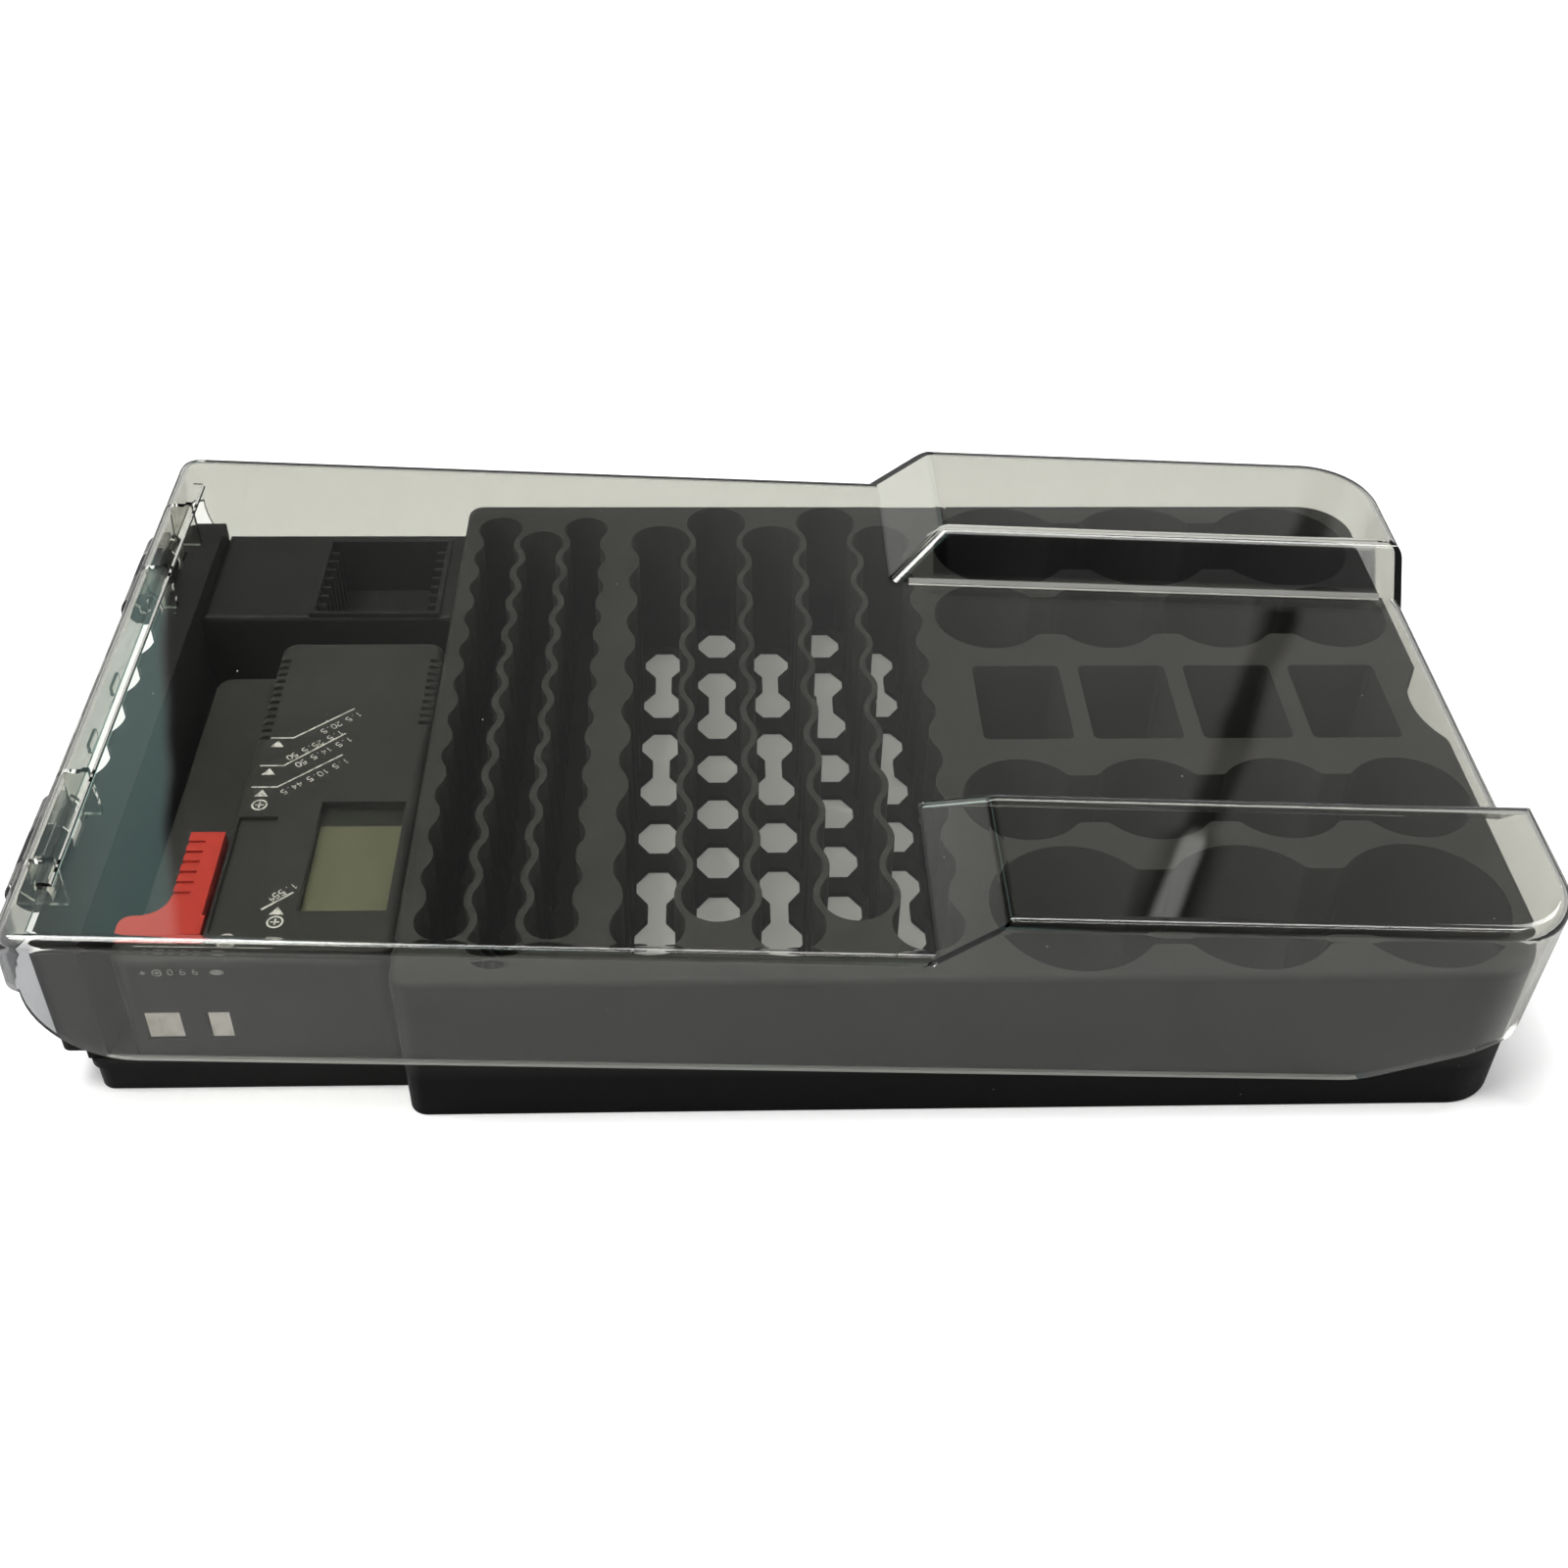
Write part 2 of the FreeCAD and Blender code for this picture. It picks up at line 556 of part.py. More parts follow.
def hinge_wall():
    """Hollow wall that stands on the plinth's edge and carries a lug at each hinge."""
    y = BAY_Y - HINGE_WALL_SETBACK
    corner = HINGE_WALL_CORNER
    solid = rounded_box(WALL_X0, WALL_X1, -y, y, PLINTH_HEIGHT, BLOCK_HEIGHT, corner, 0)
    skin = HINGE_WALL_SKIN
    inside_x0 = WALL_X0 + HINGE_WALL_OUTER_SKIN
    inside = box(inside_x0, WALL_X1 - skin, corner - y, y - corner, 0, BLOCK_HEIGHT - skin)
    radius = (SCALLOP_CHORD ** 2 / 4 + SCALLOP_DEPTH ** 2) / (2 * SCALLOP_DEPTH)
    overhang = box(WALL_X0 - 1, BAY_X0, -BAY_Y, BAY_Y, 0, PLINTH_HEIGHT + HINGE_WALL_UNDERCUT)
    cuts = [inside, overhang]
    for k in range(SCALLOP_COUNT):
        flute_y = SCALLOP_CENTRE_Y + (k - (SCALLOP_COUNT - 1) / 2) * SCALLOP_PITCH
        cuts.append(cylinder_z(WALL_X0 + SCALLOP_DEPTH - radius, flute_y, 0, BLOCK_HEIGHT + 1, 2 * radius))
    relief = BARREL_DIAMETER + 2 * BARREL_GAP
    for side in (-1, 1):
        for y0, y1 in knuckle_spans(side):
            cuts.append(cylinder_y(AXIS_X, AXIS_Z, y0 - KNUCKLE_GAP, y1 + KNUCKLE_GAP, relief))
    solid = solid.cut(cuts)
    lugs = []
    for station in hinge_stations():
        y0 = station - LUG_WIDTH / 2
        y1 = station + LUG_WIDTH / 2
        lugs.append(cylinder_y(AXIS_X, AXIS_Z, y0, y1, BARREL_DIAMETER))
        web = [(AXIS_X, AXIS_Z), (AXIS_X, LUG_WEB_Z + LUG_WEB_RISE), (WALL_X0, LUG_WEB_Z)]
        web += [(WALL_X0 + skin, LUG_WEB_Z), (WALL_X0 + skin, AXIS_Z)]
        lugs.append(extrude_xz(web, y0, y1))
    solid = join(solid, lugs)
    bores = []
    for station in hinge_stations():
        bores.append(cylinder_y(AXIS_X, AXIS_Z, station - LUG_WIDTH, station + LUG_WIDTH, PIN_DIAMETER))
    return solid.cut(bores)


def hinge_pin(side):
    """Pin through one lug and the two knuckles beside it."""
    (a0, a1), (b0, b1) = knuckle_spans(side)
    return cylinder_y(AXIS_X, AXIS_Z, min(a0, b0) + PIN_SETBACK, max(a1, b1) - PIN_SETBACK, PIN_DIAMETER)


def extrude_yz(points, x0, x1):
    """Prism along X on a polygon of (y, z) points."""
    loop = [Vector(x0, y, z) for y, z in points]
    face = Part.Face(Part.makePolygon(loop + loop[:1]))
    return face.extrude(Vector(x1 - x0, 0, 0))


def lid_form(inset):
    """Solid form of the lid, every face moved inwards by inset.

    Low over most of the case; over the two rows of D cells it rises on a long slope in X
    and a steep one in Y, so that the tall cells fit under it.
    """
    x0 = LID_X0 + inset
    x1 = LID_X1 - inset
    y1 = LID_Y - inset
    low = LID_LOW_TOP - inset
    high = LID_HIGH_TOP - inset
    bottom = LID_SKIRT_BOTTOM - 1 if inset else LID_SKIRT_BOTTOM
    left = LID_HINGE_CORNER - inset
    right = LID_FREE_CORNER - inset
    round_top = LID_EDGE_ROUND - inset
    body = rounded_box(x0, x1, -y1, y1, bottom, low, left, right)
    body = body.makeFillet(round_top, level_edges(body, low))
    tall = rounded_box(x0, x1, -y1, y1, bottom, high, left, right)
    tall = tall.makeFillet(round_top, level_edges(tall, high))
    rise = LID_HIGH_TOP - LID_LOW_TOP
    shift_x = inset * (math.hypot(BUMP_RAMP, rise) - BUMP_RAMP) / rise
    shift_y = inset * (math.hypot(BUMP_SLOPE, rise) - BUMP_SLOPE) / rise
    ramp_top = BUMP_START_X + shift_x
    foot_x = ramp_top - BUMP_RAMP * (1 + BUMP_BELOW / rise)
    base = low - BUMP_BELOW
    beyond = LID_X1 + 5
    profile = [(foot_x, base), (ramp_top, high), (beyond, high), (beyond, base)]
    ramp = extrude_xz(profile, -LID_Y - 5, LID_Y + 5)
    top_y = BUMP_INSIDE_Y + LID_WALL + shift_y
    foot_y = top_y - BUMP_SLOPE * (1 + BUMP_BELOW / rise)
    bumps = []
    for side in (-1, 1):
        points = [(foot_y, base), (top_y, high), (LID_Y + 5, high), (LID_Y + 5, base)]
        wedge = extrude_yz([(side * y, z) for y, z in points], BLOCK_X0, beyond)
        block = wedge.common(ramp)
        creases = [e for e in block.Edges if meets(e, Vector(ramp_top, side * top_y, high))]
        block = block.makeFillet(BUMP_ROUND - inset, creases)
        bumps.append(block.common(tall))
    return join(body, bumps)


def meets(edge, point):
    """True for an edge that starts or ends at a point."""
    ends = (edge.Vertexes[0].Point, edge.Vertexes[-1].Point)
    return any(end.distanceToPoint(point) < 0.01 for end in ends)


def clear_lid():
    """Clear moulded lid with its knuckles, gussets and top bead, lowered to where it rests."""
    shell = lid_form(0).cut(lid_form(LID_WALL))
    sweep = LID_SKIRT_SWEEP
    sweep_z = LID_SKIRT_BOTTOM + sweep
    sweep_x = LID_X0 + LID_SKIRT_INSET + sweep
    corner = box(LID_X0 - 1, sweep_x, -LID_Y - 1, LID_Y + 1, LID_SKIRT_BOTTOM - 1, sweep_z)
    disc = cylinder_y(sweep_x, sweep_z, -LID_Y - 2, LID_Y + 2, 2 * sweep)
    wall_end = AXIS_Z + WALL_ABOVE_AXIS
    open_y = LID_Y - LID_HINGE_CORNER
    under_wall = box(LID_X0 - 1, LID_X0 + LID_WALL + 1, -open_y, open_y, LID_SKIRT_BOTTOM - 1, wall_end)
    shell = shell.cut([corner.cut(disc), under_wall, finger_space()])
    parts = []
    bores = []
    for side in (-1, 1):
        spans = knuckle_spans(side)
        for y0, y1 in spans:
            parts.append(cylinder_y(AXIS_X, AXIS_Z, y0, y1, BARREL_DIAMETER))
            bores.append(cylinder_y(AXIS_X, AXIS_Z, y0 - 1, y1 + 1, PIN_DIAMETER + 2 * PIN_RUNNING_GAP))
        for y in (STATION_Y - GUSSET_SPREAD, STATION_Y + GUSSET_SPREAD):
            parts.append(lid_gusset(side * y, wall_end))
        lug_y0 = side * STATION_Y - LUG_WIDTH / 2 - KNUCKLE_GAP
        lug_y1 = side * STATION_Y + LUG_WIDTH / 2 + KNUCKLE_GAP
        bores.append(cylinder_y(AXIS_X, AXIS_Z, lug_y0, lug_y1, BARREL_DIAMETER + 2 * BARREL_GAP))
        parts.append(lid_stop_tab(side, wall_end))
    lid = join(shell, parts + [lid_bead()]).cut(bores)
    lid.rotate(Vector(AXIS_X, 0, AXIS_Z), Vector(0, 1, 0), lid_rest_angle())
    return lid


def finger_space():
    """Space under the raised skirt of the free end: level, then a soft slope, then level."""
    z0 = LID_SKIRT_BOTTOM
    foot = (LID_X1 - LID_FREE_RISE_FOOT, z0)
    top = (LID_X1 - LID_FREE_RISE_TOP, z0 + LID_FREE_RISE)
    start = foot[0] - LID_FREE_RISE_ROUND
    end = LID_X1 + LID_OVERHANG
    points = [(start, z0 - LID_WALL), (start, z0), foot, top, (end, top[1]), (end, z0 - LID_WALL)]
    solid = extrude_xz(points, -LID_Y - LID_WALL, LID_Y + LID_WALL)
    bends = [e for e in solid.Edges if runs_through(e, foot) or runs_through(e, top)]
    return solid.makeFillet(LID_FREE_RISE_ROUND, bends)


def runs_through(edge, place):
    """True for an edge along Y at one (x, z) place."""
    centre = edge.CenterOfMass
    return edge.BoundBox.YLength > 1 and math.hypot(centre.x - place[0], centre.z - place[1]) < 0.01


def lid_bead():
    """Rail along the top near the hinge, with sloping shoulders, that stiffens the edge."""
    x0 = LID_X0 + BEAD_FROM_EDGE
    x1 = x0 + BEAD_WIDTH
    root = LID_LOW_TOP - LID_WALL / 2
    top = LID_LOW_TOP + BEAD_HEIGHT
    points = [(x0, root), (x0, LID_LOW_TOP), (x0 + BEAD_SHOULDER, top), (x1 - BEAD_SHOULDER, top)]
    points += [(x1, LID_LOW_TOP), (x1, root)]
    return extrude_xz(points, -BEAD_LENGTH / 2, BEAD_LENGTH / 2)


def lid_stop_tab(side, bottom):
    """Small block on the outside of the lid's hinge wall."""
    y0 = STOP_TAB_MIDDLE_Y + (side * STOP_TAB_PITCH - STOP_TAB_WIDTH) / 2
    top = bottom + STOP_TAB_HEIGHT
    return box(LID_X0 - STOP_TAB_REACH, LID_X0 + 1, y0, y0 + STOP_TAB_WIDTH, bottom, top)


def lid_gusset(y, bottom):
    """Upright rib in the corner between the lid's hinge wall and its top, a little wider at its foot."""
    x = LID_X0 + LID_WALL
    root = x - LID_WALL / 2
    top = LID_LOW_INSIDE + LID_WALL / 2
    points = [(root, bottom), (x + GUSSET_REACH, bottom), (x + GUSSET_TOP, top), (root, top)]
    return extrude_xz(points, y - GUSSET_THICKNESS / 2, y + GUSSET_THICKNESS / 2)


def lid_rest_angle():
    """Degrees the empty lid drops below level before its inside meets the block's far rim."""
    along = BLOCK_X1 - AXIS_X
    below = AXIS_Z - BLOCK_HEIGHT - LID_REST_GAP
    reach = math.hypot(along, below)
    return math.degrees(math.asin((LID_LOW_INSIDE - AXIS_Z) / reach) + math.atan2(below, along))


def contact_plate_spans():
    """X spans of the two 9 V plates on the tester's front face."""
    wide = TESTER_X0 + WIDE_PLATE_FROM_LEFT
    narrow = TESTER_X0 + NARROW_PLATE_FROM_LEFT
    return ((wide, wide + WIDE_PLATE_X), (narrow, narrow + NARROW_PLATE_X))


def nine_volt_plate(index):
    """Plate let into the tester's front face, across the seam of the two shells."""
    x0, x1 = contact_plate_spans()[index]
    y0 = TESTER_Y0 + PLATE_SETBACK
    z0 = TESTER_Z0 + PLATE_FROM_BOTTOM
    return box(x0, x1, y0, y0 + CONTACT_THICKNESS, z0, z0 + PLATE_HEIGHT)


def plate_windows():
    """Shallow windows round the 9 V plates, with the seats that the plates lie in."""
    gap = PLATE_WINDOW_GAP
    z0 = TESTER_Z0 + PLATE_FROM_BOTTOM
    cuts = [nine_volt_plate(0), nine_volt_plate(1)]
    for x0, x1 in contact_plate_spans():
        y1 = TESTER_Y0 + PLATE_SETBACK
        cuts.append(box(x0 - gap, x1 + gap, TESTER_Y0 - 1, y1, z0 - gap, z0 + PLATE_HEIGHT + gap))
    return cuts


def case_screw_places():
    """Centres of the four screws that hold the tester's shells together."""
    xs = (TESTER_X0 + BOSS_INSET, TESTER_X1 - BOSS_INSET)
    ys = (TESTER_Y0 + BOSS_INSET, TESTER_Y1 - BOSS_INSET)
    return [(x, y) for x in xs for y in ys]


def board_screw_places():
    """Centres of the three screws that hang the circuit board from the upper shell."""
    x0 = BOARD_X0 + POST_DIAMETER / 2
    x1 = BOARD_X1 - POST_DIAMETER / 2
    y1 = BOARD_Y1 - 2 * POST_DIAMETER
    return [(x0, WINDOW_Y1 + 2 * POST_DIAMETER), (x0, y1), (x1, y1)]


def tester_lower_shell():
    """Tray of the tester, with a boss for each case screw."""
    w = TESTER_WALL
    outer = TESTER_CORNER
    outside = rounded_box(TESTER_X0, TESTER_X1, TESTER_Y0, TESTER_Y1, TESTER_Z0, SEAM_Z, outer, outer)
    inner = TESTER_CORNER - w
    inside = rounded_box(
        TESTER_X0 + w, TESTER_X1 - w, TESTER_Y0 + w, TESTER_Y1 - w, TESTER_Z0 + w, SEAM_Z + 1, inner, inner
    )
    bosses = [cylinder_z(x, y, TESTER_Z0 + w / 2, SEAM_Z, BOSS_DIAMETER) for x, y in case_screw_places()]
    solid = join(outside.cut(inside), bosses)
    cuts = plate_windows()
    for x, y in case_screw_places():
        cuts.append(cylinder_z(x, y, TESTER_Z0 - 1, SEAM_Z + 1, SCREW_DIAMETER + 2 * SCREW_CLEARANCE))
        well = SCREW_HEAD + 2 * SCREW_CLEARANCE
        cuts.append(cylinder_z(x, y, TESTER_Z0 - 1, TESTER_Z0 + SCREW_HEAD_DEPTH, well))
    return solid.cut(cuts)


def tester_upper_shell():
    """Cover of the tester: raised body with the window, and the low cradle a cell lies in."""
    w = TESTER_WALL
    corner = TESTER_CORNER
    solid = rounded_box(TESTER_X0, TESTER_X1, TESTER_Y0, TESTER_Y1, SEAM_Z, TESTER_Z1, corner, corner)
    cradle = box(TESTER_X0 - 1, BODY_X0, CRADLE_Y0, TESTER_Y1 + 1, CRADLE_Z, TESTER_Z1 + 1)
    solid = solid.cut(cradle)
    body_corner = [e for e in solid.Edges if is_upright(e) and near_xy(e, BODY_X0, TESTER_Y1)]
    solid = solid.makeFillet(TESTER_CORNER, body_corner)
    rim = [e for e in level_edges(solid, TESTER_Z1) if abs(e.CenterOfMass.y - CRADLE_Y0) > 0.01]
    solid = solid.makeFillet(TESTER_TOP_ROUND, rim)
    y0 = TESTER_Y0 + w
    y1 = TESTER_Y1 - w
    body = box(BODY_X0 + w, TESTER_X1 - w, y0, y1, SEAM_Z - 1, TESTER_Z1 - w)
    under_cradle = box(TESTER_X0 + w, BODY_X0 + 2 * w, y0, y1, SEAM_Z - 1, CRADLE_Z - w)
    solid = solid.cut([body, under_cradle])
    posts = [cylinder_z(x, y, SEAM_Z, screw_roof(x) + w / 2, BOSS_DIAMETER) for x, y in case_screw_places()]
    posts += [cylinder_z(x, y, BOARD_Z1, TESTER_Z1 - w / 2, POST_DIAMETER) for x, y in board_screw_places()]
    solid = join(solid, posts)
    cuts = plate_windows() + edge_notches()
    for x, y in case_screw_places():
        cuts.append(cylinder_z(x, y, SEAM_Z - 1, case_screw_tip(x), SCREW_DIAMETER))
    for x, y in board_screw_places():
        cuts.append(cylinder_z(x, y, BOARD_Z1 - 1, BOARD_Z1 + BOARD_SCREW_GRIP, BOARD_SCREW))
    cuts.append(box(WINDOW_X0, WINDOW_X1, WINDOW_Y0, WINDOW_Y1, LENS_Z1 - 1, TESTER_Z1 + 1))
    cuts.append(mini_groove())
    c = ARM_CLEARANCE
    slot_y1 = KEY_Y1 + ARM_TRAVEL + c
    cuts.append(box(BODY_X0 - 1, BODY_X0 + w + 1, KEY_Y0 - c, slot_y1, KEY_Z0 - c, KEY_Z1 + c))
    return solid.cut(cuts)


def mini_groove():
    """Shallow channel in the body's top, where a small cell is held against the arm."""
    x0 = BODY_X0 + MINI_GROOVE_INSET
    y0 = TESTER_Y0 + MINI_GROOVE_FROM_FRONT
    z0 = TESTER_Z1 - MINI_GROOVE_DEPTH
    return box(x0, x0 + MINI_GROOVE_X, y0, y0 + MINI_GROOVE_Y, z0, TESTER_Z1 + 1)


def edge_notches():
    """Rows of short notches across both long edges of the body's top, to grip the tester by."""
    z0 = TESTER_Z1 - EDGE_NOTCH_DEPTH
    near = (BODY_X0 - EDGE_NOTCH_REACH, BODY_X0 + EDGE_NOTCH_REACH)
    far = (TESTER_X1 - EDGE_NOTCH_REACH, TESTER_X1 + EDGE_NOTCH_REACH)
    notches = []
    for (x0, x1), count in ((near, EDGE_NOTCHES), (far, FAR_EDGE_NOTCHES)):
        for k in range(count):
            y = TESTER_Y1 - EDGE_NOTCH_FROM_BACK - k * EDGE_NOTCH_PITCH
            notches.append(box(x0, x1, y - EDGE_NOTCH_WIDTH, y, z0, TESTER_Z1 + EDGE_NOTCH_DEPTH))
    return notches


def near_xy(edge, x, y):
    """True for an upright edge at one corner of the plan."""
    return abs(edge.CenterOfMass.x - x) < 0.01 and abs(edge.CenterOfMass.y - y) < 0.01


def screw_roof(x):
    """Underside of the cover above a case screw: low under the cradle, high under the body."""
    return (CRADLE_Z if x < BODY_X0 else TESTER_Z1) - TESTER_WALL


def case_screw_tip(x):
    """Height of a case screw's tip: the cradle side takes shorter screws."""
    return min(TESTER_Z0 + SCREW_HEAD_DEPTH + SCREW_LENGTH, screw_roof(x))


def tester_case_screws():
    """The four screws of the tester, heads sunk in the tray."""
    screws = []
    for x, y in case_screw_places():
        head_z = TESTER_Z0 + SCREW_HEAD_DEPTH - SCREW_HEAD_HEIGHT
        neck = TESTER_Z0 + SCREW_HEAD_DEPTH
        head = cylinder_z(x, y, head_z, neck, SCREW_HEAD)
        shank = cylinder_z(x, y, neck, case_screw_tip(x), SCREW_DIAMETER)
        a = CROSS_LENGTH / 2
        b = CROSS_WIDTH / 2
        bottom = head_z + CROSS_DEPTH
        cross = [box(x - a, x + a, y - b, y + b, head_z - 1, bottom)]
        cross.append(box(x - b, x + b, y - a, y + a, head_z - 1, bottom))
        screws.append(join(head, [shank]).cut(cross))
    return Part.Compound(screws)


def tester_board_screws():
    """Three small screws up through the circuit board into the cover's posts."""
    screws = []
    for x, y in board_screw_places():
        head = cylinder_z(x, y, BOARD_Z0 - SCREW_HEAD_HEIGHT, BOARD_Z0, BOARD_SCREW_HEAD)
        shank = cylinder_z(x, y, BOARD_Z0, BOARD_Z1 + BOARD_SCREW_GRIP, BOARD_SCREW)
        screws.append(join(head, [shank]))
    return Part.Compound(screws)


def window_box(grow, z0, z1):
    """Box under the tester's window, larger by grow on each side."""
    return box(WINDOW_X0 - grow, WINDOW_X1 + grow, WINDOW_Y0 - grow, WINDOW_Y1 + grow, z0, z1)


def tester_lcd_connector():
    """Two rubber strips that join the display to the circuit board."""
    strips = []
    for x in (WINDOW_X0, WINDOW_X1 - STRIP_WIDTH):
        strips.append(box(x, x + STRIP_WIDTH, WINDOW_Y0, WINDOW_Y1, BOARD_Z1, LCD_Z0))
    return Part.Compound(strips)


def tester_circuit_board():
    """Board hung under the cover, with a hole at each screw."""
    board = box(BOARD_X0, BOARD_X1, BOARD_Y0 + BOSS_DIAMETER + BOARD_GAP, BOARD_Y1, BOARD_Z0, BOARD_Z1)
    holes = [cylinder_z(x, y, BOARD_Z0 - 1, BOARD_Z1 + 1, BOARD_SCREW) for x, y in board_screw_places()]
    return board.cut(holes)


def tester_slide_arm():
    """Red L-shaped arm: the foot pushes the cell, the leg is pulled by a fingertip."""
    z0 = CRADLE_Z + ARM_CLEARANCE
    foot_x1 = BODY_X0 - ARM_CLEARANCE
    foot_y1 = ARM_Y0 + ARM_FOOT_DEPTH
    foot = box(TESTER_X0, foot_x1, ARM_Y0, foot_y1, z0, ARM_TOP_Z)
    leg = box(ARM_LEG_X0, ARM_LEG_X1, ARM_Y0, ARM_LEG_Y1, z0, ARM_TOP_Z)
    solid = join(foot, [leg])
    inner = [e for e in solid.Edges if is_upright(e) and near_xy(e, ARM_LEG_X0, foot_y1)]
    solid = solid.makeFillet(ARM_FILLET, inner)
    outer = [e for e in solid.Edges if is_upright(e) and near_xy(e, TESTER_X0, foot_y1)]
    solid = solid.makeFillet(ARM_FOOT_DEPTH / 2, outer)
    key = box(ARM_LEG_X1 - 1, KEEPER_X0, KEY_Y0, KEY_Y1, KEY_Z0, KEY_Z1)
    groove_x1 = (ARM_LEG_X0 + ARM_LEG_X1) / 2
    groove_z0 = ARM_TOP_Z - GRIP_DEPTH
    grooves = []
    for k in range(GRIP_GROOVES):
        y = foot_y1 + GRIP_FROM_FOOT + k * GRIP_PITCH
        grooves.append(box(ARM_LEG_X0 - 1, groove_x1, y, y + GRIP_WIDTH, groove_z0, ARM_TOP_Z + 1))
    return join(solid, [key]).cut(grooves)


def tester_arm_keeper():
    """Plate inside the tester that holds the arm's key in its slot."""
    middle_z = (KEY_Z0 + KEY_Z1) / 2
    z0 = middle_z - KEEPER_HEIGHT / 2
    return box(KEEPER_X0, KEEPER_X0 + KEEPER_THICKNESS, KEY_Y0, KEY_Y1, z0, z0 + KEEPER_HEIGHT)


def cradle_contact(y0):
    """Sprung plate that touches one end of the cell in the cradle."""
    middle_x = (TESTER_X0 + BODY_X0) / 2
    z1 = ARM_TOP_Z - ARM_CLEARANCE
    half = CONTACT_SIZE / 2
    return box(middle_x - half, middle_x + half, y0, y0 + CONTACT_THICKNESS, z1 - CONTACT_SIZE, z1)


def main():
    """Build every node of the case."""
    os.makedirs("parts", exist_ok=True)
    save("battery_block_aaa", aaa_bank())
    save("battery_block_aa", aa_bank())
    save("battery_block_d_front", d_row(-1))
    save("battery_block_c_front", c_row(-1))
    save("battery_block_nine_volt", nine_volt_row())
    save("battery_block_c_rear", c_row(1))
    save("battery_block_d_rear", d_row(1))
    save("tester_bay", tester_bay())
    save("hinge_wall", hinge_wall())
    save("hinge_pin_front", hinge_pin(-1))
    save("hinge_pin_rear", hinge_pin(1))
    save("clear_lid", clear_lid())
    save("tester_lower_shell", tester_lower_shell())
    save("tester_upper_shell", tester_upper_shell())
    save("tester_case_screws", tester_case_screws())
    save("tester_circuit_board", tester_circuit_board())
    save("tester_board_screws", tester_board_screws())
    save("tester_lcd_connector", tester_lcd_connector())
    save("tester_lcd_panel", window_box(LENS_LEDGE, LCD_Z0, LCD_Z1))
    save("tester_lens", window_box(LENS_LEDGE, LENS_Z0, LENS_Z1))
    save("tester_contact_wide", nine_volt_plate(0))
    save("tester_contact_narrow", nine_volt_plate(1))
    save("tester_contact_fixed", cradle_contact(CRADLE_Y0))
    save("tester_contact_arm", cradle_contact(ARM_Y0 - CONTACT_THICKNESS))
    save("tester_slide_arm", tester_slide_arm())
    save("tester_arm_keeper", tester_arm_keeper())


main()
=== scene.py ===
# %% [markdown]
# A flat case for household batteries. The black tray, the clear lid and the loose battery tester
# come in as imported solids, already in place and in metres, so no shape is modelled twice. This
# lesson gives each solid the surface that moulded plastic, plated strip or rubber has, adds the
# white print on the tester, and sets up the studio. The box round the solids is kept from the
# start.

# %% Load the solids
import math
import bpy
import numpy as np
from mathutils import Matrix, Vector


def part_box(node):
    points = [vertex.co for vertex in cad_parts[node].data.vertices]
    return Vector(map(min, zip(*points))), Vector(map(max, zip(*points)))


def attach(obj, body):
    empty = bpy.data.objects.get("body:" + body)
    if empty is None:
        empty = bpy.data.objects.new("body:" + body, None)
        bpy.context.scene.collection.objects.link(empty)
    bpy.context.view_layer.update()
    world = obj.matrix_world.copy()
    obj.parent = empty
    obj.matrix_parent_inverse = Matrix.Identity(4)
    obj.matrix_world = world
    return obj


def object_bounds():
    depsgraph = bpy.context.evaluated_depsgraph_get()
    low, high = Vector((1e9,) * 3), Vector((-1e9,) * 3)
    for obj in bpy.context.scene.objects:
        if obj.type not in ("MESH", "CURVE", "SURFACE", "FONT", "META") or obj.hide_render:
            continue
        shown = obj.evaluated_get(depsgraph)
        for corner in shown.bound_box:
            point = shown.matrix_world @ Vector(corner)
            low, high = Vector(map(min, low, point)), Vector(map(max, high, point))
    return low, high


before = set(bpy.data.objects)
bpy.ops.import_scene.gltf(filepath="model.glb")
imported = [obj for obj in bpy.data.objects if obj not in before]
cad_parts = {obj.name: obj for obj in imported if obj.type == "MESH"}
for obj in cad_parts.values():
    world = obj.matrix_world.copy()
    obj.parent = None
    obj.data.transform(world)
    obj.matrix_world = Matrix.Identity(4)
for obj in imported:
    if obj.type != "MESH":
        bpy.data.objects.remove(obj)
cad_low, cad_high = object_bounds()
scene = bpy.context.scene
MM = 0.001
cad_sides = [round((high - low) / MM, 1) for low, high in zip(cad_low, cad_high)]
print("solids:", len(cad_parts), "box mm:", cad_sides)

# %% [markdown]
# A material is a tree of nodes. It could be drawn by hand in the shader editor, but written out
# it comes out the same each time and reads as a list of steps. One function adds a node, sets it
# and links it. Colours are written the way a paint card gives them, as sRGB hex, and another
# function turns them to the linear light that Blender's sockets want. Settings that come back in
# many nodes have names, so that a line says Math, MULTIPLY and its two inputs. Map Range has its
# value as i0, the span that it comes from as i1 and i2, and the span that it goes to as i3 and
# i4. Mix has its share as i0, then two numbers as i2 and i3, or two colours as i6 and i7. Most of
# what a noise texture gives lies between NOISE_LOW and NOISE_HIGH.

# %% Colour and node helpers
def linear(code):
    """sRGB hex to linear RGBA: each channel goes through the standard sRGB curve."""
    srgb = np.array([int(code[i:i + 2], 16) / 255 for i in (1, 3, 5)])
    low = srgb / 12.92
    high = ((srgb + 0.055) / 1.055) ** 2.4
    return (*np.where(srgb <= 0.04045, low, high).tolist(), 1.0)


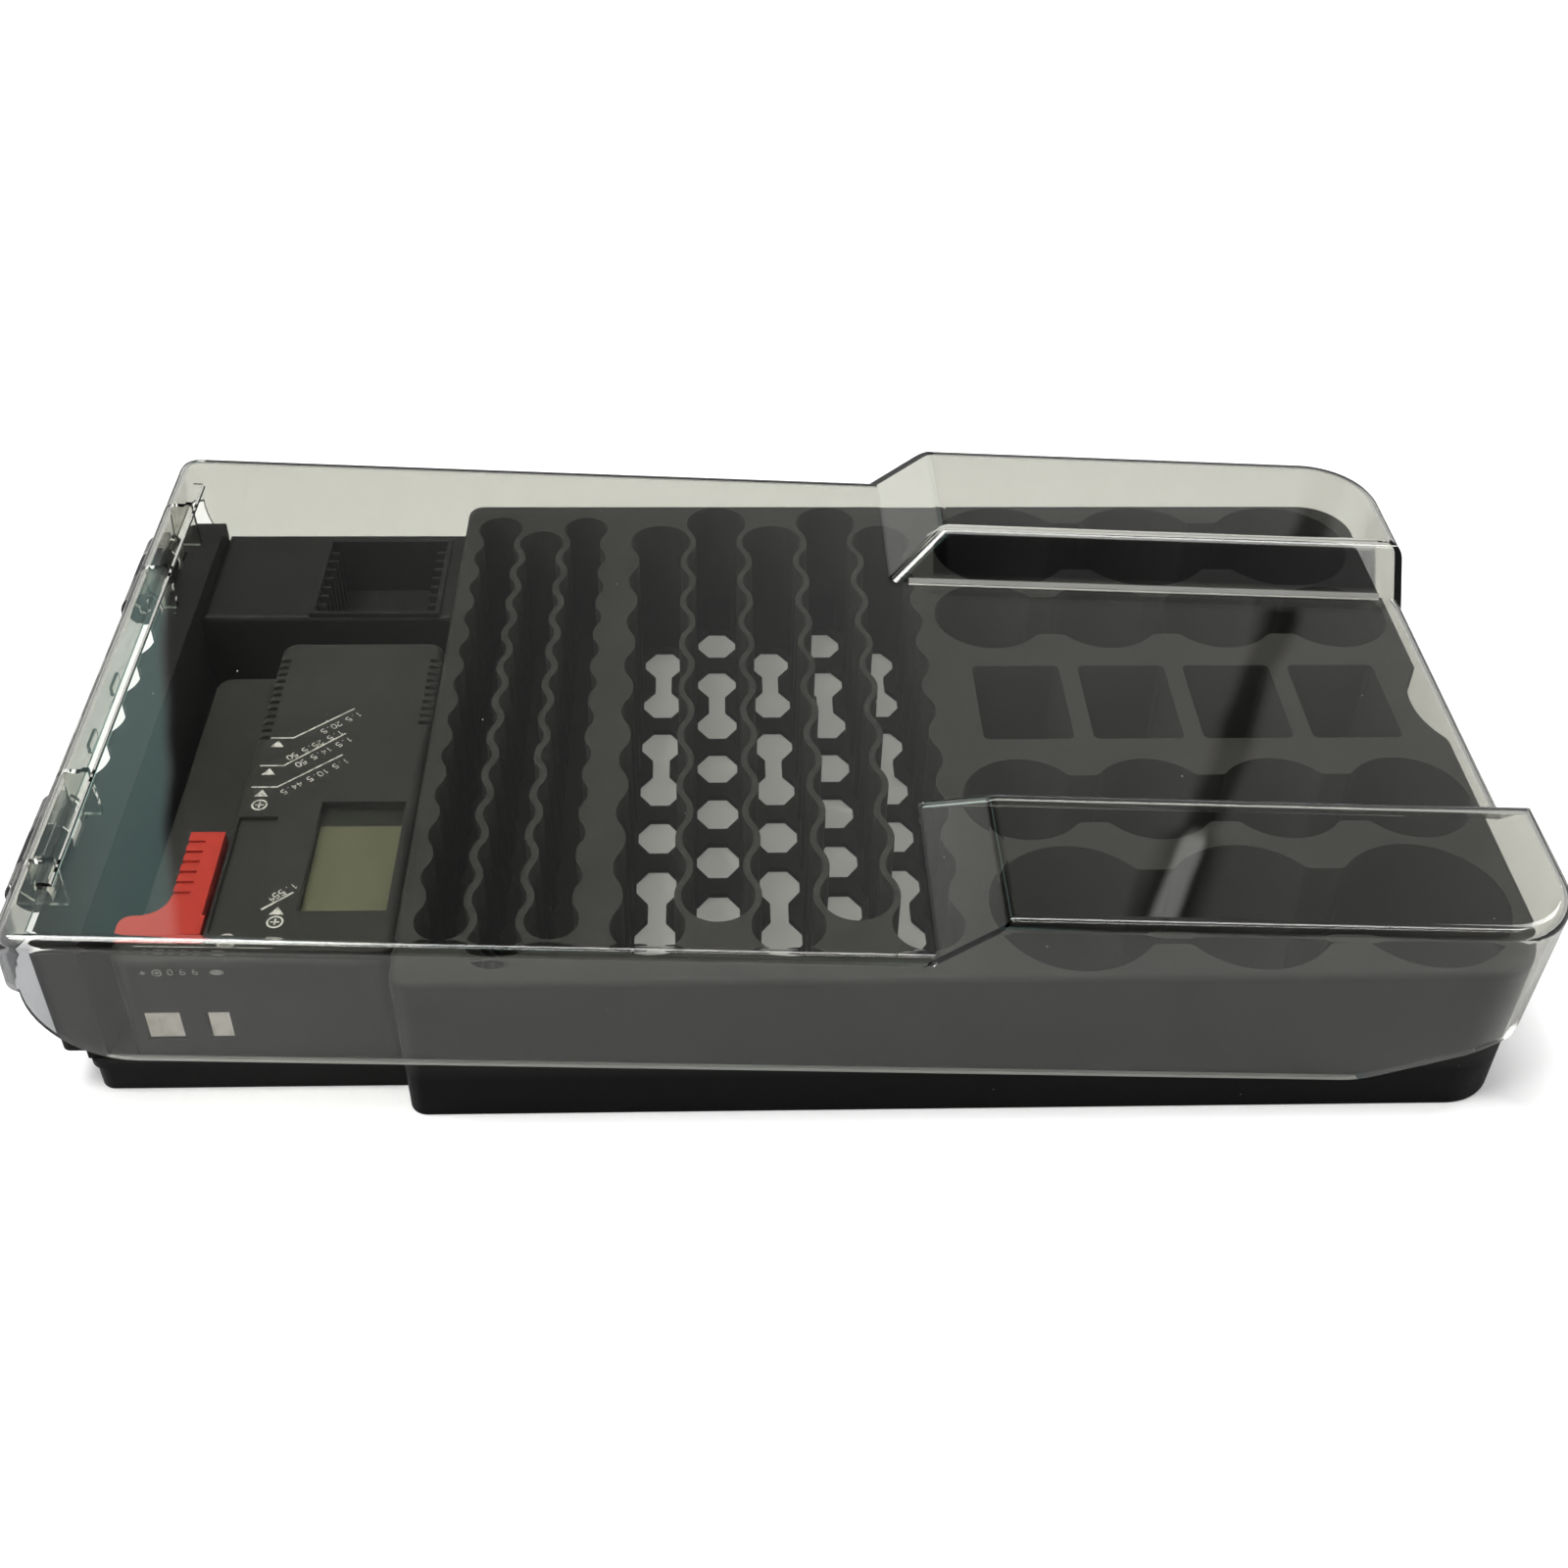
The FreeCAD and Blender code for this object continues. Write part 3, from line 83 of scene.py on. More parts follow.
def add(tree, kind, settings=None, **links):
    """One node of the type "ShaderNode" + kind. settings are the node's own properties. links
    are its inputs, by name or by number as i0, i1 and so on, each with a value, an output to
    link, or a node whose first output is linked."""
    node = tree.nodes.new("ShaderNode" + kind)
    for name, value in (settings or {}).items():
        setattr(node, name, value)
    for name, value in links.items():
        numbered = name[0] == "i" and name[1:].isdigit()
        socket = node.inputs[int(name[1:])] if numbered else node.inputs[name.replace("_", " ")]
        if isinstance(value, bpy.types.Node):
            value = value.outputs[0]
        if isinstance(value, bpy.types.NodeSocket):
            tree.links.new(value, socket)
        else:
            socket.default_value = value
    return node


def new_material(name):
    """An empty node material and its tree."""
    material = bpy.data.materials.new(name)
    material.use_nodes = True
    material.node_tree.nodes.clear()
    return material, material.node_tree


def per_metre(size_mm):
    """Scale of a pattern whose repeat is size_mm, for Object coordinates in metres."""
    return 1000.0 / size_mm


ADD, SUBTRACT, MULTIPLY = {"operation": "ADD"}, {"operation": "SUBTRACT"}, {"operation": "MULTIPLY"}
MAXIMUM, ABSOLUTE = {"operation": "MAXIMUM"}, {"operation": "ABSOLUTE"}
DOT_PRODUCT = {"operation": "DOT_PRODUCT"}
OF_NUMBERS, OF_COLOURS = {"data_type": "FLOAT"}, {"data_type": "RGBA"}
NOISE_LOW, NOISE_HIGH = 0.3, 0.7
print("black as linear light:", linear("#000000"), "mid grey:", round(linear("#808080")[0], 3))

# %% [markdown]
# The lid and the display both need a finish that changes at a given place. An image could be
# painted for that, but it would blur up close. Here a mask is worked out from the point's own
# place: it is 1 between two values and falls to 0 over a chosen width beyond them.

# %% A mask between two values
def inside_span(tree, value, low, high, soft):
    """1 where value lies between low and high, falling to 0 over soft beyond each end: the
    distance from the middle of the span is compared with half its length."""
    half = (high - low) / 2
    from_middle = add(tree, "Math", SUBTRACT, i0=value, i1=low + half)
    distance = add(tree, "Math", ABSOLUTE, i0=from_middle)
    return add(tree, "MapRange", i0=distance, i1=half, i2=half + soft, i3=1.0, i4=0.0)


print("mask helper ready")

# %% [markdown]
# The studio comes next. The camera looks from close over the front edge, a little to the left of
# the case's middle, and down at about 41 degrees. It could be aimed by hand in the viewport, but
# that comes out a little different each time, and worked-out numbers don't. Its turn is built
# from pitch, yaw and roll, and its lens from a film 36 mm wide and the share of that width that
# the focal length has.

# %% Camera
FILM = 36.0
FOCAL_SHARE = 1896.1 / 1600
CAMERA_PLACE = Vector((-0.0530, -0.3472, 0.3187))
PITCH, YAW, ROLL = (math.radians(a) for a in (40.88, -2.72, 1.46))

ahead = Matrix.Rotation(YAW, 3, "Z") @ Vector((0, math.cos(PITCH), -math.sin(PITCH)))
level_right = Matrix.Rotation(YAW, 3, "Z") @ Vector((1, 0, 0))
level_up = level_right.cross(ahead)
right = math.cos(ROLL) * level_right + math.sin(ROLL) * level_up
up = math.cos(ROLL) * level_up - math.sin(ROLL) * level_right
turn = Matrix((right, up, -ahead)).transposed().to_4x4()

camera_data = bpy.data.cameras.new("camera")
camera_data.sensor_width = FILM
camera_data.lens = FILM * FOCAL_SHARE
camera_data.clip_start, camera_data.clip_end = 0.01, 20.0
camera = bpy.data.objects.new("camera", camera_data)
camera.matrix_world = Matrix.Translation(CAMERA_PLACE) @ turn
scene.collection.objects.link(camera)
scene.camera = camera
print("lens mm:", round(camera_data.lens, 2))

# %% [markdown]
# Clear plastic shows what is behind it and mirrors what is before it, so a lid in a plain white
# room looks like fog. A real room could be built round the case, with walls and a window, but
# that takes many pieces that nobody sees. Instead a switch sorts the rays: those that light
# things, those that gloss has mirrored once, and those that the eye sends straight or through
# clear plastic. The world and the floor can then answer each kind in its own way.

# %% Sort the rays
def ray_strength(tree, plain, gloss, seen):
    """plain for rays that light things, gloss for rays mirrored once, seen for the eye's rays
    and for those that went through clear plastic, unless a matt surface sent them."""
    path = add(tree, "LightPath")
    depth = path.outputs["Glossy Depth"]
    once = add(tree, "Math", {"operation": "COMPARE"}, i0=depth, i1=1.0, i2=0.5)
    depth = path.outputs["Diffuse Depth"]
    from_eye = add(tree, "Math", {"operation": "LESS_THAN"}, i0=depth, i1=0.5)
    not_mirrored = add(tree, "Math", SUBTRACT, i0=from_eye, i1=once)
    mirrored_once = add(tree, "Math", MULTIPLY, i0=from_eye, i1=once)
    through = path.outputs["Is Transmission Ray"]
    direct = add(tree, "Math", MAXIMUM, i0=path.outputs["Is Camera Ray"], i1=through)
    direct = add(tree, "Math", MULTIPLY, i0=direct, i1=not_mirrored)
    gleam = add(tree, "Math", MAXIMUM, i0=path.outputs["Is Glossy Ray"], i1=through)
    gleam = add(tree, "Math", MULTIPLY, i0=gleam, i1=mirrored_once)
    level = add(tree, "Mix", OF_NUMBERS, i0=gleam, i2=plain, i3=gloss)
    return add(tree, "Mix", OF_NUMBERS, i0=direct, i2=level, i3=seen)


scene.view_settings.view_transform = "Standard"
print("view transform:", scene.view_settings.view_transform)

# %% [markdown]
# The room that gloss mirrors has a window to the left with a cool light, dark beside it, then a
# wall that grows paler to the right. A picture of a room could be wrapped round the scene, but a
# few sums on the direction of a ray need no file and stay sharp. Each upright edge is a plane
# through the case: the dot product of a direction with the plane's normal is 0 on the edge, and
# its sign says on which side of it the direction lies.

# %% Window and wall
ROOM_DARK, ROOM_WALL, ROOM_WINDOW = 0.05, 0.35, 0.85
WINDOW_EDGE = (0.969, 0.234, 0.077)
WINDOW_BLUR = 0.003
PANE_FROM, PANE_TO = -0.13, -0.03
WALL_FROM, WALL_TO = 0.03, 0.45

world = bpy.data.worlds.new("studio")
scene.world = world
world.use_nodes = True
world.node_tree.nodes.clear()
sky = world.node_tree
direction = add(sky, "TexCoord").outputs["Generated"]
past_window = add(sky, "VectorMath", DOT_PRODUCT, i0=direction, i1=WINDOW_EDGE).outputs["Value"]
in_window = add(
    sky, "MapRange", i0=past_window, i1=-WINDOW_BLUR, i2=WINDOW_BLUR, i3=1.0, i4=0.0
)
near_edge = add(sky, "MapRange", i0=past_window, i1=PANE_FROM, i2=PANE_TO)
pane = add(sky, "Math", MULTIPLY, i0=in_window, i1=near_edge)
window_light = add(sky, "Math", MULTIPLY, i0=pane, i1=ROOM_WINDOW)
wall = add(
    sky, "MapRange", i0=past_window, i1=WALL_FROM, i2=WALL_TO, i3=ROOM_DARK, i4=ROOM_WALL
)
print("window:", ROOM_WINDOW, "wall:", ROOM_DARK, "to", ROOM_WALL)

# %% [markdown]
# In front of the wall is a thin upright post, whose dark stripe on the lid shows how flat its top
# is. High up the post is wider and has a bright slit. A post could be modelled and stood in the
# scene, but it would cast a shadow too. So the distance from one more plane draws it: dark within
# a small distance on both sides, and the slit within a smaller one.

# %% Post with a slit
POST_PLANE = (0.910, -0.413, 0.027)
POST_SHADE = 0.1
POST_EDGE_IN, POST_EDGE_OUT = 0.005, 0.012
POST_WIDENING = 0.45
POST_SLIT = 1.3
SLIT_EDGE_IN, SLIT_EDGE_OUT = 0.0025, 0.0045
WIDE_FROM, WIDE_TO = 0.626, 0.634

past_post = add(sky, "VectorMath", DOT_PRODUCT, i0=direction, i1=POST_PLANE).outputs["Value"]
off_post = add(sky, "Math", ABSOLUTE, i0=past_post)
parts = add(sky, "SeparateXYZ", Vector=direction)
backward, height = parts.outputs[1], parts.outputs[2]
high_up = add(sky, "MapRange", i0=height, i1=WIDE_FROM, i2=WIDE_TO)
widening = add(sky, "Math", MULTIPLY, i0=high_up, i1=POST_WIDENING)
drawn_in = add(sky, "Math", SUBTRACT, i0=1.0, i1=widening)
off_post = add(sky, "Math", MULTIPLY, i0=off_post, i1=drawn_in)
post = add(
    sky, "MapRange", i0=off_post, i1=POST_EDGE_IN, i2=POST_EDGE_OUT, i3=POST_SHADE, i4=1.0
)
in_slit = add(
    sky, "MapRange", i0=off_post, i1=SLIT_EDGE_IN, i2=SLIT_EDGE_OUT, i3=POST_SLIT, i4=0.0
)
slit = add(sky, "Math", MULTIPLY, i0=high_up, i1=in_slit)
wall_and_post = add(sky, "Math", MULTIPLY, i0=wall, i1=post)
print("post shade:", POST_SHADE, "slit:", POST_SLIT)

# %% [markdown]
# Low down and behind the case the room is pale, which the upright rear faces mirror. The parts of
# the room are put together here: the wall behind the post, the slit and the window are added up,
# and the low light shows where it is brighter than that. Light that falls on things comes mostly
# from overhead, as from a white ceiling, and the eye sees plain white. A sky texture could give
# the light instead, but it would bring its own colours.

# %% World
AMBIENT = 0.40
AMBIENT_LOW_SHARE = 0.03
AMBIENT_FROM, AMBIENT_TO = 0.15, 0.85
ROOM_HORIZON = 0.75
HORIZON_FROM, HORIZON_TO = 0.30, 0.50
BEHIND_FROM, BEHIND_TO = -0.2, 0.2

near_horizon = add(
    sky, "MapRange", i0=height, i1=HORIZON_FROM, i2=HORIZON_TO, i3=ROOM_HORIZON, i4=0.0
)
behind = add(sky, "MapRange", i0=backward, i1=BEHIND_FROM, i2=BEHIND_TO)
low_light = add(sky, "Math", MULTIPLY, i0=near_horizon, i1=behind)
mirrored = add(sky, "Math", ADD, i0=wall_and_post, i1=slit)
mirrored = add(sky, "Math", ADD, i0=mirrored, i1=window_light)
mirrored = add(sky, "Math", MAXIMUM, i0=mirrored, i1=low_light)

ambient_low = AMBIENT_LOW_SHARE * AMBIENT
from_above = add(
    sky, "MapRange", i0=height, i1=AMBIENT_FROM, i2=AMBIENT_TO, i3=ambient_low, i4=AMBIENT
)
strength = ray_strength(sky, from_above, mirrored, 1.0)
glossy = add(sky, "LightPath").outputs["Is Glossy Ray"]
cool = add(sky, "Math", MULTIPLY, i0=glossy, i1=pane)
sky_colour = add(sky, "Mix", OF_COLOURS, i0=cool, i6=linear("#fefefe"), i7=linear("#d3fffb"))
background = add(sky, "Background", Color=sky_colour.outputs[2], Strength=strength)
add(sky, "OutputWorld", Surface=background)
print("world nodes:", len(sky.nodes), "ambient:", AMBIENT)

# %% [markdown]
# The case stands on a sheet of matt white paper. White paper under soft lamps turns grey in a
# picture. More light would whiten it and spoil the plastics, so the paper glows a little for the
# eye alone: strongly round the case, and weakly under it, where the floor shows grey through the
# bottoms of the AA pockets. The edge between the two is a rectangle as large as the case: a
# point's distance from its middle is divided by the half length and the half width, and the
# larger of the two quotients is 1 on the outline.

# %% Floor
FLOOR_HALF = 4.0
FLOOR_BELOW_CASE = 0.2 * MM
CASE_MIDDLE = (-0.036, 0.0, 0.0)
CASE_HALF_LENGTH, CASE_HALF_WIDTH = 0.160, 0.088
PAPER_LIGHTING, PAPER_MIRRORED, PAPER_SEEN = 0.10, 0.62, 0.88
GLOW_UNDER, GLOW_ROUND = 0.16, 0.64
GLOW_FROM, GLOW_TO = 0.97, 1.10


def flat_square(name, half, finish):
    """A level square about the origin, half long from its middle to each side."""
    mesh = bpy.data.meshes.new(name)
    corners = [(-half, -half, 0), (half, -half, 0), (half, half, 0), (-half, half, 0)]
    mesh.from_pydata(corners, [], [(0, 1, 2, 3)])
    mesh.materials.append(finish)
    square = bpy.data.objects.new(name, mesh)
    scene.collection.objects.link(square)
    return square


floor_finish, tree = new_material("matt_paper_sweep")
paper_colour = ray_strength(tree, PAPER_LIGHTING, PAPER_MIRRORED, PAPER_SEEN)
paper = add(tree, "BsdfDiffuse", Color=paper_colour)
point = add(tree, "TexCoord").outputs["Object"]
from_middle = add(tree, "VectorMath", SUBTRACT, i0=point, i1=CASE_MIDDLE)
parts = add(tree, "SeparateXYZ", Vector=from_middle)
quotients = []
for value, half in ((parts.outputs[0], CASE_HALF_LENGTH), (parts.outputs[1], CASE_HALF_WIDTH)):
    distance = add(tree, "Math", ABSOLUTE, i0=value)
    quotients.append(add(tree, "Math", MULTIPLY, i0=distance, i1=1 / half))
outward = add(tree, "Math", MAXIMUM, i0=quotients[0], i1=quotients[1])
paleness = add(
    tree, "MapRange", i0=outward, i1=GLOW_FROM, i2=GLOW_TO, i3=GLOW_UNDER, i4=GLOW_ROUND
)
paleness = ray_strength(tree, 0.0, 0.0, paleness)
glow = add(tree, "Emission", Color=linear("#ffffff"), Strength=paleness)
both = add(tree, "AddShader", i0=paper, i1=glow)
add(tree, "OutputMaterial", Surface=both)

floor = flat_square("floor", FLOOR_HALF, floor_finish)
floor.location.z = -FLOOR_BELOW_CASE
print("floor side m:", 2 * FLOOR_HALF)

# %% [markdown]
# Three soft lamps light the case: a key from the front left, a weaker fill from the back right,
# and a long strip overhead that draws the bright lines along the rolled edges of the lid. Point
# lamps would be simpler, but their highlights are dots with hard shadows. The strip's light would
# flatten the black plastics, so matt surfaces don't get it. A sheet of black felt behind the
# camera stands for the dark place where somebody looks from. Only gloss sees it.

# %% Lamps and felt card
KEY_PLACE, KEY_WATTS, KEY_SIDE = Vector((-0.45, -0.15, 0.95)), 8.0, 0.45
FILL_PLACE, FILL_WATTS, FILL_SIDE = Vector((0.75, 0.35, 0.8)), 2.4, 0.35
STRIP_PLACE, STRIP_AIM = Vector((0.0, -0.12, 1.0)), Vector((0.0, -0.119, 0.0))
STRIP_WATTS, STRIP_LENGTH, STRIP_WIDTH = 10.0, 1.6, 0.16
CARD_HALF = 0.17
CARD_BEHIND_CAMERA = 0.12


def soft_lamp(name, place, aim, length, width, watts):
    """An area lamp at place, turned to face aim, its length level."""
    data = bpy.data.lights.new(name, "AREA")
    data.shape = "RECTANGLE"
    data.size = length
    data.size_y = width
    data.energy = watts
    lamp = bpy.data.objects.new(name, data)
    facing = (aim - place).to_track_quat("-Z", "Y").to_matrix().to_4x4()
    lamp.matrix_world = Matrix.Translation(place) @ facing
    scene.collection.objects.link(lamp)
    return lamp


middle = (cad_low + cad_high) / 2
soft_lamp("key_lamp", KEY_PLACE, middle, KEY_SIDE, KEY_SIDE, KEY_WATTS)
strip = soft_lamp("strip_lamp", STRIP_PLACE, STRIP_AIM, STRIP_LENGTH, STRIP_WIDTH, STRIP_WATTS)
strip.visible_diffuse = False
soft_lamp("fill_lamp", FILL_PLACE, middle, FILL_SIDE, FILL_SIDE, FILL_WATTS)

card_finish, tree = new_material("black_felt_card")
felt = add(tree, "BsdfDiffuse", Color=linear("#050505"))
add(tree, "OutputMaterial", Surface=felt)
card = flat_square("dark_card", CARD_HALF, card_finish)
card.matrix_world = Matrix.Translation(CAMERA_PLACE - ahead * CARD_BEHIND_CAMERA) @ turn
card.visible_camera = card.visible_diffuse = False
card.visible_transmission = card.visible_shadow = False
print("lamps:", len(bpy.data.lights), "watts:", KEY_WATTS, FILL_WATTS, STRIP_WATTS)

# %% [markdown]
# Two marks come first. The feet of the two long walls are blacker than the rest, up to the height
# where the lid's rim covers them. Fine pale dust lies on the plastics in single specks, thick in
# some places and missing in others. Specks could be scattered as tiny meshes, but thousands of them
# would slow the render for nothing. The centres of a cell pattern are as random and cost one node.

# %% Blacker feet and dust
WALL_FACE = 85.5 * MM
FOOT_HEIGHT = 13.0 * MM
FACE_BLUR, FOOT_BLUR = 0.2 * MM, 2.0 * MM


def wall_foot(tree, point):
    """1 on the outer face of a long wall, where |y| is past WALL_FACE, and below FOOT_HEIGHT."""
    parts = add(tree, "SeparateXYZ", Vector=point)
    aside = add(tree, "Math", ABSOLUTE, i0=parts.outputs[1])
    outside = add(tree, "MapRange", i0=aside, i1=WALL_FACE - FACE_BLUR, i2=WALL_FACE)
    fade_from, fade_to = FOOT_HEIGHT - FOOT_BLUR, FOOT_HEIGHT + FOOT_BLUR
    low = add(tree, "MapRange", i0=parts.outputs[2], i1=fade_from, i2=fade_to, i3=1.0, i4=0.0)
    return add(tree, "Math", MULTIPLY, i0=outside, i1=low)


def dust_specks(tree, point, spacing_mm, speck, patch_mm, patch, most):
    """Single specks: near the random centres of a cell pattern, and only in some patches. speck
    and patch are the values between which each of the two fades, and most is the thickest."""
    cells = add(tree, "TexVoronoi", {"feature": "F1"}, Vector=point, Scale=per_metre(spacing_mm))
    cells.inputs["Randomness"].default_value = 1.0
    from_centre = cells.outputs["Distance"]
    near = add(tree, "MapRange", i0=from_centre, i1=speck[0], i2=speck[1], i3=1.0, i4=0.0)
    patches = add(tree, "TexNoise", Vector=point, Scale=per_metre(patch_mm), Detail=1.0)
    patchy = add(tree, "MapRange", i0=patches, i1=patch[0], i2=patch[1], i3=0.0, i4=most)
    return add(tree, "Math", MULTIPLY, i0=near, i1=patchy)


print("rubbed up to mm:", round(FOOT_HEIGHT / MM, 1))

# %% [markdown]
# The tray is black ABS, injection moulded in a tool with a fine spark-eroded skin. That gives the
# eye a deep grey-black with a broad soft sheen, a grain just too fine to see, and faint
# cloudiness where the melt flowed. An image of a real moulding would repeat and show its edges.
# Noise on the point's own place never does, and its scale is a size in millimetres. The grain is
# drawn at 0.35 mm, coarser than the real 0.05 mm, so that it shows at all. The bay and the tester
# came from smoother tools, so they are a little glossier.

# %% Black ABS
CLOUD_MM, CLOUD_FROM, CLOUD_TO = 38.0, 0.35, 0.68
DUST_MM, DUST_FADE, DUST_MOST = 5.5, (0.018, 0.034), 0.8
DUST_PATCH_MM, DUST_PATCH_FADE = 24.0, (0.52, 0.60)
FOOT_BLACK = "#0c0c0c"
GRAIN_DEPTH = 0.04 * MM
SHEEN_SPREAD = 0.06


def moulded_abs(name, colour, cloud_colour, dust_colour, roughness, grain_mm):
    """Moulded ABS: cloudy base colour, sparse dust, grained roughness and a shallow grain bump."""
    material, tree = new_material(name)
    point = add(tree, "TexCoord").outputs["Object"]
    clouds = add(tree, "TexNoise", Vector=point, Scale=per_metre(CLOUD_MM), Detail=3.0)
    cloud = add(tree, "MapRange", i0=clouds, i1=CLOUD_FROM, i2=CLOUD_TO)
    skin = add(tree, "Mix", OF_COLOURS, i0=cloud, i6=linear(colour), i7=linear(cloud_colour))
    foot = wall_foot(tree, point)
    skin = add(tree, "Mix", OF_COLOURS, i0=foot, i6=skin.outputs[2], i7=linear(FOOT_BLACK))
    dust = dust_specks(
        tree, point, DUST_MM, DUST_FADE, DUST_PATCH_MM, DUST_PATCH_FADE, DUST_MOST
    )
    skin = add(tree, "Mix", OF_COLOURS, i0=dust, i6=skin.outputs[2], i7=linear(dust_colour))
    grain = add(tree, "TexNoise", Vector=point, Scale=per_metre(grain_mm), Detail=2.0)
    smooth, rough = roughness - SHEEN_SPREAD, roughness + SHEEN_SPREAD
    sheen = add(tree, "MapRange", i0=grain, i1=NOISE_LOW, i2=NOISE_HIGH, i3=smooth, i4=rough)
    bump = add(tree, "Bump", Height=grain, Strength=0.12, Distance=GRAIN_DEPTH)
    shader = add(
        tree, "BsdfPrincipled", Base_Color=skin.outputs[2], Roughness=sheen, IOR=1.53,
        Specular_IOR_Level=0.10, Normal=bump
    )
    add(tree, "OutputMaterial", Surface=shader)
    return material


tray_abs = moulded_abs("abs_black_spark_textured", "#2f2f2e", "#343433", "#8e8e88", 0.46, 0.35)
bay_abs = moulded_abs("abs_black_plain_moulded", "#1f1f1f", "#232323", "#8e8e88", 0.42, 0.35)
tester_abs = moulded_abs("abs_black_fine_moulded", "#30302f", "#353534", "#9a9a94", 0.40, 0.30)
print("plastics:", tray_abs.name, bay_abs.name, tester_abs.name)

# %% [markdown]
# Some places on the lid are painted with light and shade. Its steep rear wall and the corner by
# the hinge send light aside, so a darker tint there is painted shade. Pale lines are painted
# highlights along the foot and the crease of the rear rise and along the rim, where edges would
# catch light. The lid could be cut up there and given more materials, but one moulding should stay
# one solid. So boxes mark the places: spans in X, in Y, and in depth below the lid's sloping top.

# %% Places on the lid
TOP_EDGE = 59.65 * MM
TOP_FALL = 0.0417
# Boxes where a darker tint paints shade: the rear rise's steep wall and the corner by the hinge.
PAINTED_SHADE_PLACES = (
    ((2.5, 117.0), (43.4, 51.0), (0.4, 9.6), 0.5),
    ((-203.0, -187.5), (-93.0, -80.0), (13.0, 60.0), 1.5),
)
# Boxes where pale lines paint highlights: the foot and crease of the rear rise, and the rim.
PAINTED_HIGHLIGHT_BOXES = (
    ((-4.0, 118.0), (41.9, 42.5), (8.0, 14.0), 0.25),
    ((-4.0, 118.0), (51.7, 52.2), (-1.0, 3.0), 0.25),
    ((-186.0, 84.0), (-93.0, -88.2), (44.3, 46.0), 0.3),
)


def boxes_mask(tree, point, boxes):
    """1 inside any of the boxes. Each has its spans in X, Y and depth below the sloping top,
    then the width of its soft edge, all in mm. The top's height is TOP_EDGE - TOP_FALL x."""
    parts = add(tree, "SeparateXYZ", Vector=point)
    fall = add(tree, "Math", MULTIPLY, i0=parts.outputs[0], i1=-TOP_FALL)
    top = add(tree, "Math", ADD, i0=fall, i1=TOP_EDGE)
    depth = add(tree, "Math", SUBTRACT, i0=top, i1=parts.outputs[2])
    total = 0.0
    for *spans, soft in boxes:
        inside = 1.0
        for value, (low, high) in zip((parts.outputs[0], parts.outputs[1], depth), spans):
            one = inside_span(tree, value, low * MM, high * MM, soft * MM)
            inside = add(tree, "Math", MULTIPLY, i0=inside, i1=one)
        total = add(tree, "Math", MAXIMUM, i0=total, i1=inside)
    return total


print("darker places:", len(PAINTED_SHADE_PLACES), "rubbed lines:", len(PAINTED_HIGHLIGHT_BOXES))

# %% [markdown]
# The lid is crystal polystyrene: as clear as window glass, with a slightly higher index, so its
# rolled edges catch white lines. A real one is never spotless, so it has single specks of dust
# and very faint ripples from the mould. Lamps pass through by a Light Path switch, because
# plastic this thin casts almost no shadow. Tracing that light through the glass instead would
# take far longer and leave bright specks. The display's window is acrylic, a clearer plastic with
# less dust, so the same function makes it.

# %% Clear polystyrene and acrylic
RIPPLE_MM, RIPPLE_DEPTH = 45.0, 0.4 * MM
SPECK_FADE, SPECK_MOST = (0.016, 0.028), 0.75
SPECK_PATCH_MM, SPECK_PATCH_FADE = 30.0, (0.54, 0.60)
# The first colour paints shade in the dark boxes. The second is dust, and in the pale boxes also
# the painted highlight lines.
PAINTED_SHADE_TINT, DUST_AND_HIGHLIGHT_WHITE = "#969798", "#e4e4de"
# Share of the pale colour in the painted highlight lines.
HIGHLIGHT_LINE_SHARE = 0.4


def clear_moulding(name, tint, shade, index, dust_mm, shade_painted_boxes=(), highlight_boxes=()):
    """Clear plastic: glass with mould ripples and dust, open to rays from lamps."""
    material, tree = new_material(name)
    point = add(tree, "TexCoord").outputs["Object"]
    tint = linear(tint)
    # In the dark boxes a darker tint paints shade onto the clear plastic.
    if shade_painted_boxes:
        shade_mask = boxes_mask(tree, point, shade_painted_boxes)
        tint = add(tree, "Mix", OF_COLOURS, i0=shade_mask, i6=tint, i7=linear(PAINTED_SHADE_TINT)).outputs[2]
    ripple = add(tree, "TexNoise", Vector=point, Scale=per_metre(RIPPLE_MM), Detail=1.0)
    bump = add(tree, "Bump", Height=ripple, Strength=0.25, Distance=RIPPLE_DEPTH)
    glass = add(
        tree, "BsdfPrincipled", Base_Color=tint, Roughness=0.02, IOR=index,
        Transmission_Weight=1.0, Normal=bump
    )
    dust = dust_specks(
        tree, point, dust_mm, SPECK_FADE, SPECK_PATCH_MM, SPECK_PATCH_FADE, SPECK_MOST
    )
    # In the pale boxes painted highlight lines join the dust, so from here dust holds both.
    if highlight_boxes:
        marked = boxes_mask(tree, point, highlight_boxes)
        marked = add(tree, "Math", MULTIPLY, i0=marked, i1=HIGHLIGHT_LINE_SHARE)
        dust = add(tree, "Math", MAXIMUM, i0=dust, i1=marked)
    # The pale film is dust, and in the pale boxes painted highlight lines.
    dust_and_highlight = add(tree, "BsdfDiffuse", Color=linear(DUST_AND_HIGHLIGHT_WHITE))
    glass_dust_and_highlights = add(tree, "MixShader", i0=dust, i1=glass, i2=dust_and_highlight)
    lamps = add(tree, "BsdfTransparent", Color=linear(shade))
    shadow = add(tree, "LightPath").outputs["Is Shadow Ray"]
    shader = add(tree, "MixShader", i0=shadow, i1=glass_dust_and_highlights, i2=lamps)
    add(tree, "OutputMaterial", Surface=shader)
    return material


lid_clear = clear_moulding(
    "polystyrene_crystal_clear", "#dadad4", "#f4f4f3", 1.52, 7.0, PAINTED_SHADE_PLACES, PAINTED_HIGHLIGHT_BOXES
)
lens_clear = clear_moulding("acrylic_window_clear", "#f4f6f2", "#f2f2f0", 1.49, 12.0)
print("clear plastics:", lid_clear.name, lens_clear.name)

